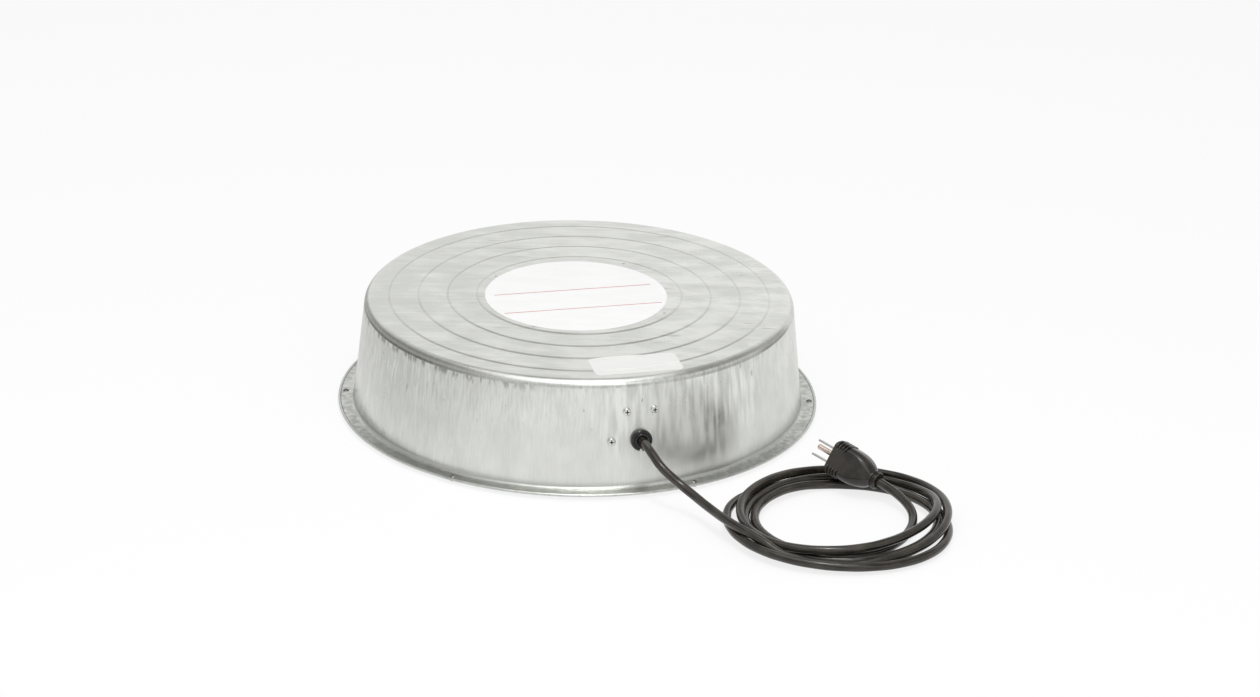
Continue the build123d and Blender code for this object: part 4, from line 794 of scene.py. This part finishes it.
# Cord
# Three-core power cord with a round black rubber jacket, moulded to the plug at its far end.
# It leaves the bushing straight, drops to the floor and lies there in a loose coil of four turns.
CORD_DIAMETER = 0.0076
CORD_COLUMNS = 28
CORE_SWELL = 0.012
CORE_PITCH = 0.075
EXIT_RUN = 0.010
NECK_RUN = 0.014
LEAD_POINTS = [
    (0.0656, -0.2103, 0.0447),
    (0.0717, -0.2198, 0.0394),
    (0.0797, -0.2256, 0.0332),
    (0.0922, -0.2319, 0.0250),
    (0.1054, -0.2450, 0.0196),
    (0.1180, -0.2647, 0.0180),
    (0.1318, -0.2877, 0.0186),
    (0.1520, -0.3055, 0.0155),
    (0.1714, -0.3191, 0.0072),
    (0.1873, -0.3246, 0.0053),
    (0.1968, -0.3281, 0.0046),
    (0.2063, -0.3307, 0.0046),
]
COIL_CENTRE = (0.2230, -0.2400)
COIL_RADII = [
    92.4, 89.7, 89.1, 91.9, 90.4, 79.9, 84.0, 88.2, 81.1, 73.9, 80.2, 84.0, 81.9, 79.5, 94.5, 103.2, 99.7,
    99.2, 87.8, 75.7, 74.5, 72.3, 79.9, 82.8, 83.6, 82.4, 80.4, 67.8, 66.8, 64.4, 72.0, 74.9, 75.5,
]
COIL_HEIGHTS = [
    4.0, 9.3, 13.1, 9.2, 7.1, 12.9, 12.1, 10.6, 13.0, 14.5, 16.5, 7.5, 4.3, 4.6, 9.1, 9.6, 6.5,
    5.2, 4.4, 4.1, 7.1, 8.2, 5.4, 4.2, 4.1, 5.8, 7.8, 7.4, 4.0, 8.0, 5.4, 4.1, 4.0,
]
TURN_STEPS = 24
TAIL_POINTS = [
    (0.2527, -0.3061, 0.0040),
    (0.2712, -0.2828, 0.0045),
    (0.2792, -0.2627, 0.0045),
    (0.2830, -0.2465, 0.0053),
    (0.2828, -0.2308, 0.0077),
    (0.2759, -0.2163, 0.0113),
]


def smooth(values, position):
    """Curve through evenly spaced values: on each span the cubic that its two neighbours on each side set."""
    values = np.array(values)
    last = len(values) - 1
    index = np.clip(position.astype(int), 0, last - 1)
    share = position - index
    before, start = values[np.maximum(index - 1, 0)], values[index]
    end, after = values[index + 1], values[np.minimum(index + 2, last)]
    bend_part = 2 * before - 5 * start + 4 * end - after
    twist_part = 3 * (start - end) + after - before
    return start + share / 2 * (end - before + share * (bend_part + share * twist_part))


def coil_points(turns):
    """Points of the coil after a number of turns from its front: centre plus radius times the direction there.
    The radius and the height are given in millimetres, by eighths of a turn."""
    radius = smooth(COIL_RADII, 8 * turns) * 0.001
    height = smooth(COIL_HEIGHTS, 8 * turns) * 0.001
    angle = 2 * np.pi * turns - np.pi / 2
    across = COIL_CENTRE[0] + radius * np.cos(angle)
    deep = COIL_CENTRE[1] + radius * np.sin(angle)
    return np.stack([across, deep, height], axis=1)


def cord_route():
    """Control points of the whole cord: the lead, the coil's turns and the tail."""
    gland, along, upward, outward = wall_axes(CORD_AZIMUTH, BUSHING_HEIGHT)
    start = gland + outward * BUSHING_HEAD_LENGTH
    turns = (len(COIL_RADII) - 1) / 8
    coil = coil_points(np.linspace(0, turns, round(turns * TURN_STEPS) + 1))
    neck_start = PLUG_NECK - heading(PLUG_AZIMUTH, PLUG_TILT) * NECK_RUN
    return np.array([start, start + outward * EXIT_RUN, *LEAD_POINTS, *coil, *TAIL_POINTS, neck_start, PLUG_NECK])


def spline_points(control):
    """Points along the smooth line that has these control points."""
    curve = bpy.data.curves.new("cord_route", "CURVE")
    curve.dimensions = "3D"
    spline = curve.splines.new("NURBS")
    spline.points.add(len(control) - 1)
    spline.points.foreach_set("co", np.column_stack([control, np.ones(len(control))]).ravel())
    spline.order_u = 3
    spline.use_endpoint_u = True
    spline.resolution_u = 8
    holder = bpy.data.objects.new("cord_route", curve)
    bpy.context.scene.collection.objects.link(holder)
    bpy.context.view_layer.update()
    mesh = bpy.data.meshes.new_from_object(holder)
    points = np.zeros(3 * len(mesh.vertices))
    mesh.vertices.foreach_get("co", points)
    bpy.data.objects.remove(holder)
    points = points.reshape(-1, 3)
    return points[np.append(True, np.linalg.norm(np.diff(points, axis=0), axis=1) > 1e-6)]


def tube_grid(path):
    """Ring of points about each point of the cord's path, square to it, swelling a little where one of the three
    twisted cores lies below."""
    along = np.gradient(path, axis=0)
    along /= np.linalg.norm(along, axis=1, keepdims=True)
    side = np.cross(along, [0, 0, 1])
    side /= np.linalg.norm(side, axis=1, keepdims=True)
    over = np.cross(side, along)
    length = np.append(0, np.cumsum(np.linalg.norm(np.diff(path, axis=0), axis=1)))
    turn = np.linspace(0, 2 * np.pi, CORD_COLUMNS, endpoint=False)
    lay = np.cos(3 * (turn - 2 * np.pi * length[:, None] / CORE_PITCH))
    radius = CORD_DIAMETER / 2 * (1 + CORE_SWELL * (lay - 1))
    ring = np.cos(turn)[None, :, None] * side[:, None] + np.sin(turn)[None, :, None] * over[:, None]
    return path[:, None] + radius[..., None] * ring


def jacket():
    """Black rubber compound: dusty patches, faint marks along the cord and a dull sheen."""
    made, tree, shader = new_material("black_jacket", Specular_IOR_Level=0.5)
    dust = noise(tree, 55, 5)
    marks = noise(tree, 1.0, 4, (18, 24, 1), space="UV")
    fine = noise(tree, 1300, 3)
    shade = weighted(tree, (dust, 0.35), (marks, 0.65))
    tint = mix(tree, ramp(tree, shade, 0.38, 0.66), (0.009, 0.0075, 0.0057), (0.062, 0.0525, 0.0405))
    tree.links.new(tint, shader.inputs["Base Color"])
    tree.links.new(ramp(tree, shade, 0.35, 0.65, 0.12, 0.24), shader.inputs["Roughness"])
    bump(tree, shader, calc(tree, "ADD", fine, product(tree, marks, 0.8)), 0.10, 0.0002)
    return made


route = spline_points(cord_route())
cord = surface("cord", tube_grid(route))
black_jacket = jacket()
cord.data.materials.append(black_jacket)
dress(black_jacket, "cord_stub")
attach(cord, "base")
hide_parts("cord_lead", "cord_coil", "cord_tail")

# Studio
# Plain white floor that runs into a white room, with one large soft panel above the front, a weaker one in front and
# a small one that puts the bright line on the pan's edge. In the metal the room is white behind and greyer elsewhere.
FLOOR_SIZE = 14.0
FLOOR_DROP = 0.0002
half_floor = FLOOR_SIZE / 2
floor_corners = [(x * half_floor, y * half_floor, -FLOOR_DROP) for x, y in ((-1, -1), (1, -1), (1, 1), (-1, 1))]
floor_mesh = bpy.data.meshes.new("floor")
floor_mesh.from_pydata(floor_corners, [], [(0, 1, 2, 3)])
floor = bpy.data.objects.new("floor", floor_mesh)
bpy.context.scene.collection.objects.link(floor)


def seen_directly(tree):
    """One for the rays that come from the camera, from a reflection or through a clear piece."""
    path = add(tree, "ShaderNodeLightPath").outputs
    return greatest(tree, path["Is Camera Ray"], path["Is Glossy Ray"], path["Is Transmission Ray"])


def sweep_material():
    """Matt white that keeps a soft shadow and is mostly plain white where it is seen, a little greyer on the left
    in reflections."""
    made, tree, shader = new_material("white_sweep", Base_Color=(0.95, 0.95, 0.95, 1), Roughness=1.0)
    across = add(tree, "ShaderNodeSeparateXYZ", Vector=place(tree)).outputs[0]
    reflected = add(tree, "ShaderNodeLightPath").outputs["Is Glossy Ray"]
    shade = product(tree, ramp(tree, across, -0.17, -0.36, 0, 0.25), reflected)
    glow = add(tree, "ShaderNodeEmission", Color=(1, 1, 1, 1), Strength=calc(tree, "SUBTRACT", 1.0, shade))
    blend = add(tree, "ShaderNodeMixShader", Fac=product(tree, seen_directly(tree), 0.80))
    tree.links.new(shader.outputs[0], blend.inputs[1])
    tree.links.new(glow.outputs[0], blend.inputs[2])
    tree.links.new(blend.outputs[0], tree.nodes["Material Output"].inputs["Surface"])
    return made


def room():
    """World light: even and soft for what it lights, white where the camera sees it, and in reflections white behind
    the object and greyer elsewhere."""
    world = bpy.data.worlds.new("studio")
    world.use_nodes = True
    tree = world.node_tree
    back = tree.nodes["Background"]
    back.inputs["Color"].default_value = (1, 1, 1, 1)
    way = add(tree, "ShaderNodeTexCoord").outputs["Generated"]
    axes = add(tree, "ShaderNodeSeparateXYZ", Vector=way).outputs
    behind = product(tree, ramp(tree, axes[1], 0.55, 0.80), ramp(tree, axes[2], 0.66, 0.52))
    dark = product(tree, ramp(tree, axes[2], 0.50, 0.72, 0.32, 0.55), calc(tree, "SUBTRACT", 1.0, behind))
    path = add(tree, "ShaderNodeLightPath").outputs
    bright = calc(tree, "SUBTRACT", 1.0, product(tree, dark, path["Is Glossy Ray"]))
    seen = seen_directly(tree)
    lit = product(tree, calc(tree, "SUBTRACT", 1.0, seen), 0.54)
    tree.links.new(calc(tree, "ADD", product(tree, bright, seen), lit), back.inputs["Strength"])
    return world


def panel(name, spot, aim, size, power):
    """Soft light panel that faces a point."""
    data = bpy.data.lights.new(name, "AREA")
    data.shape = "RECTANGLE"
    data.size, data.size_y = size
    data.energy = power
    made = bpy.data.objects.new(name, data)
    bpy.context.scene.collection.objects.link(made)
    backward = unit(np.array(spot) - np.array(aim))
    across = unit(np.cross([0, 1, 0.001], backward))
    turned = Matrix(np.stack([across, np.cross(backward, across), backward], axis=1).tolist()).to_4x4()
    turned.translation = spot
    made.matrix_world = turned


floor.data.materials.append(sweep_material())
bpy.context.scene.world = room()
panel("overhead", (-0.25, -0.90, 2.3), (-0.15, -0.60, 0.05), (2.2, 3.0), 19.5)
panel("front", (0.9, -2.6, 2.0), (0.1, -0.1, 0.05), (1.6, 1.2), 8)
panel("spark", (0.15, -0.85, 2.2), (0.1, -0.1, 0.05), (0.4, 0.4), 12)

# Camera
# At the photograph's viewing angle, a long lens from a little above and slightly rolled.
CAMERA_PLACE = (0.04510, -3.70588, 1.61923)
CAMERA_PITCH = math.radians(22.942)
CAMERA_ROLL = math.radians(1.3295)
FOCAL_PIXELS = 4608.0
FRAME_PIXELS = 1260.0
SENSOR_WIDTH = 36.0

lens = bpy.data.cameras.new("camera")
lens.sensor_fit = "HORIZONTAL"
lens.sensor_width = SENSOR_WIDTH
lens.lens = FOCAL_PIXELS / FRAME_PIXELS * SENSOR_WIDTH
lens.clip_end = 50
camera = bpy.data.objects.new("camera", lens)
bpy.context.scene.collection.objects.link(camera)
level_right = np.array([1.0, 0, 0])
level_up = np.array([0, math.sin(CAMERA_PITCH), math.cos(CAMERA_PITCH)])
right = math.cos(CAMERA_ROLL) * level_right + math.sin(CAMERA_ROLL) * level_up
upright = math.cos(CAMERA_ROLL) * level_up - math.sin(CAMERA_ROLL) * level_right
pose = Matrix(np.stack([right, upright, np.cross(right, upright)], axis=1).tolist()).to_4x4()
pose.translation = CAMERA_PLACE
camera.matrix_world = pose
bpy.context.scene.camera = camera
bpy.context.scene.view_settings.view_transform = "Standard"
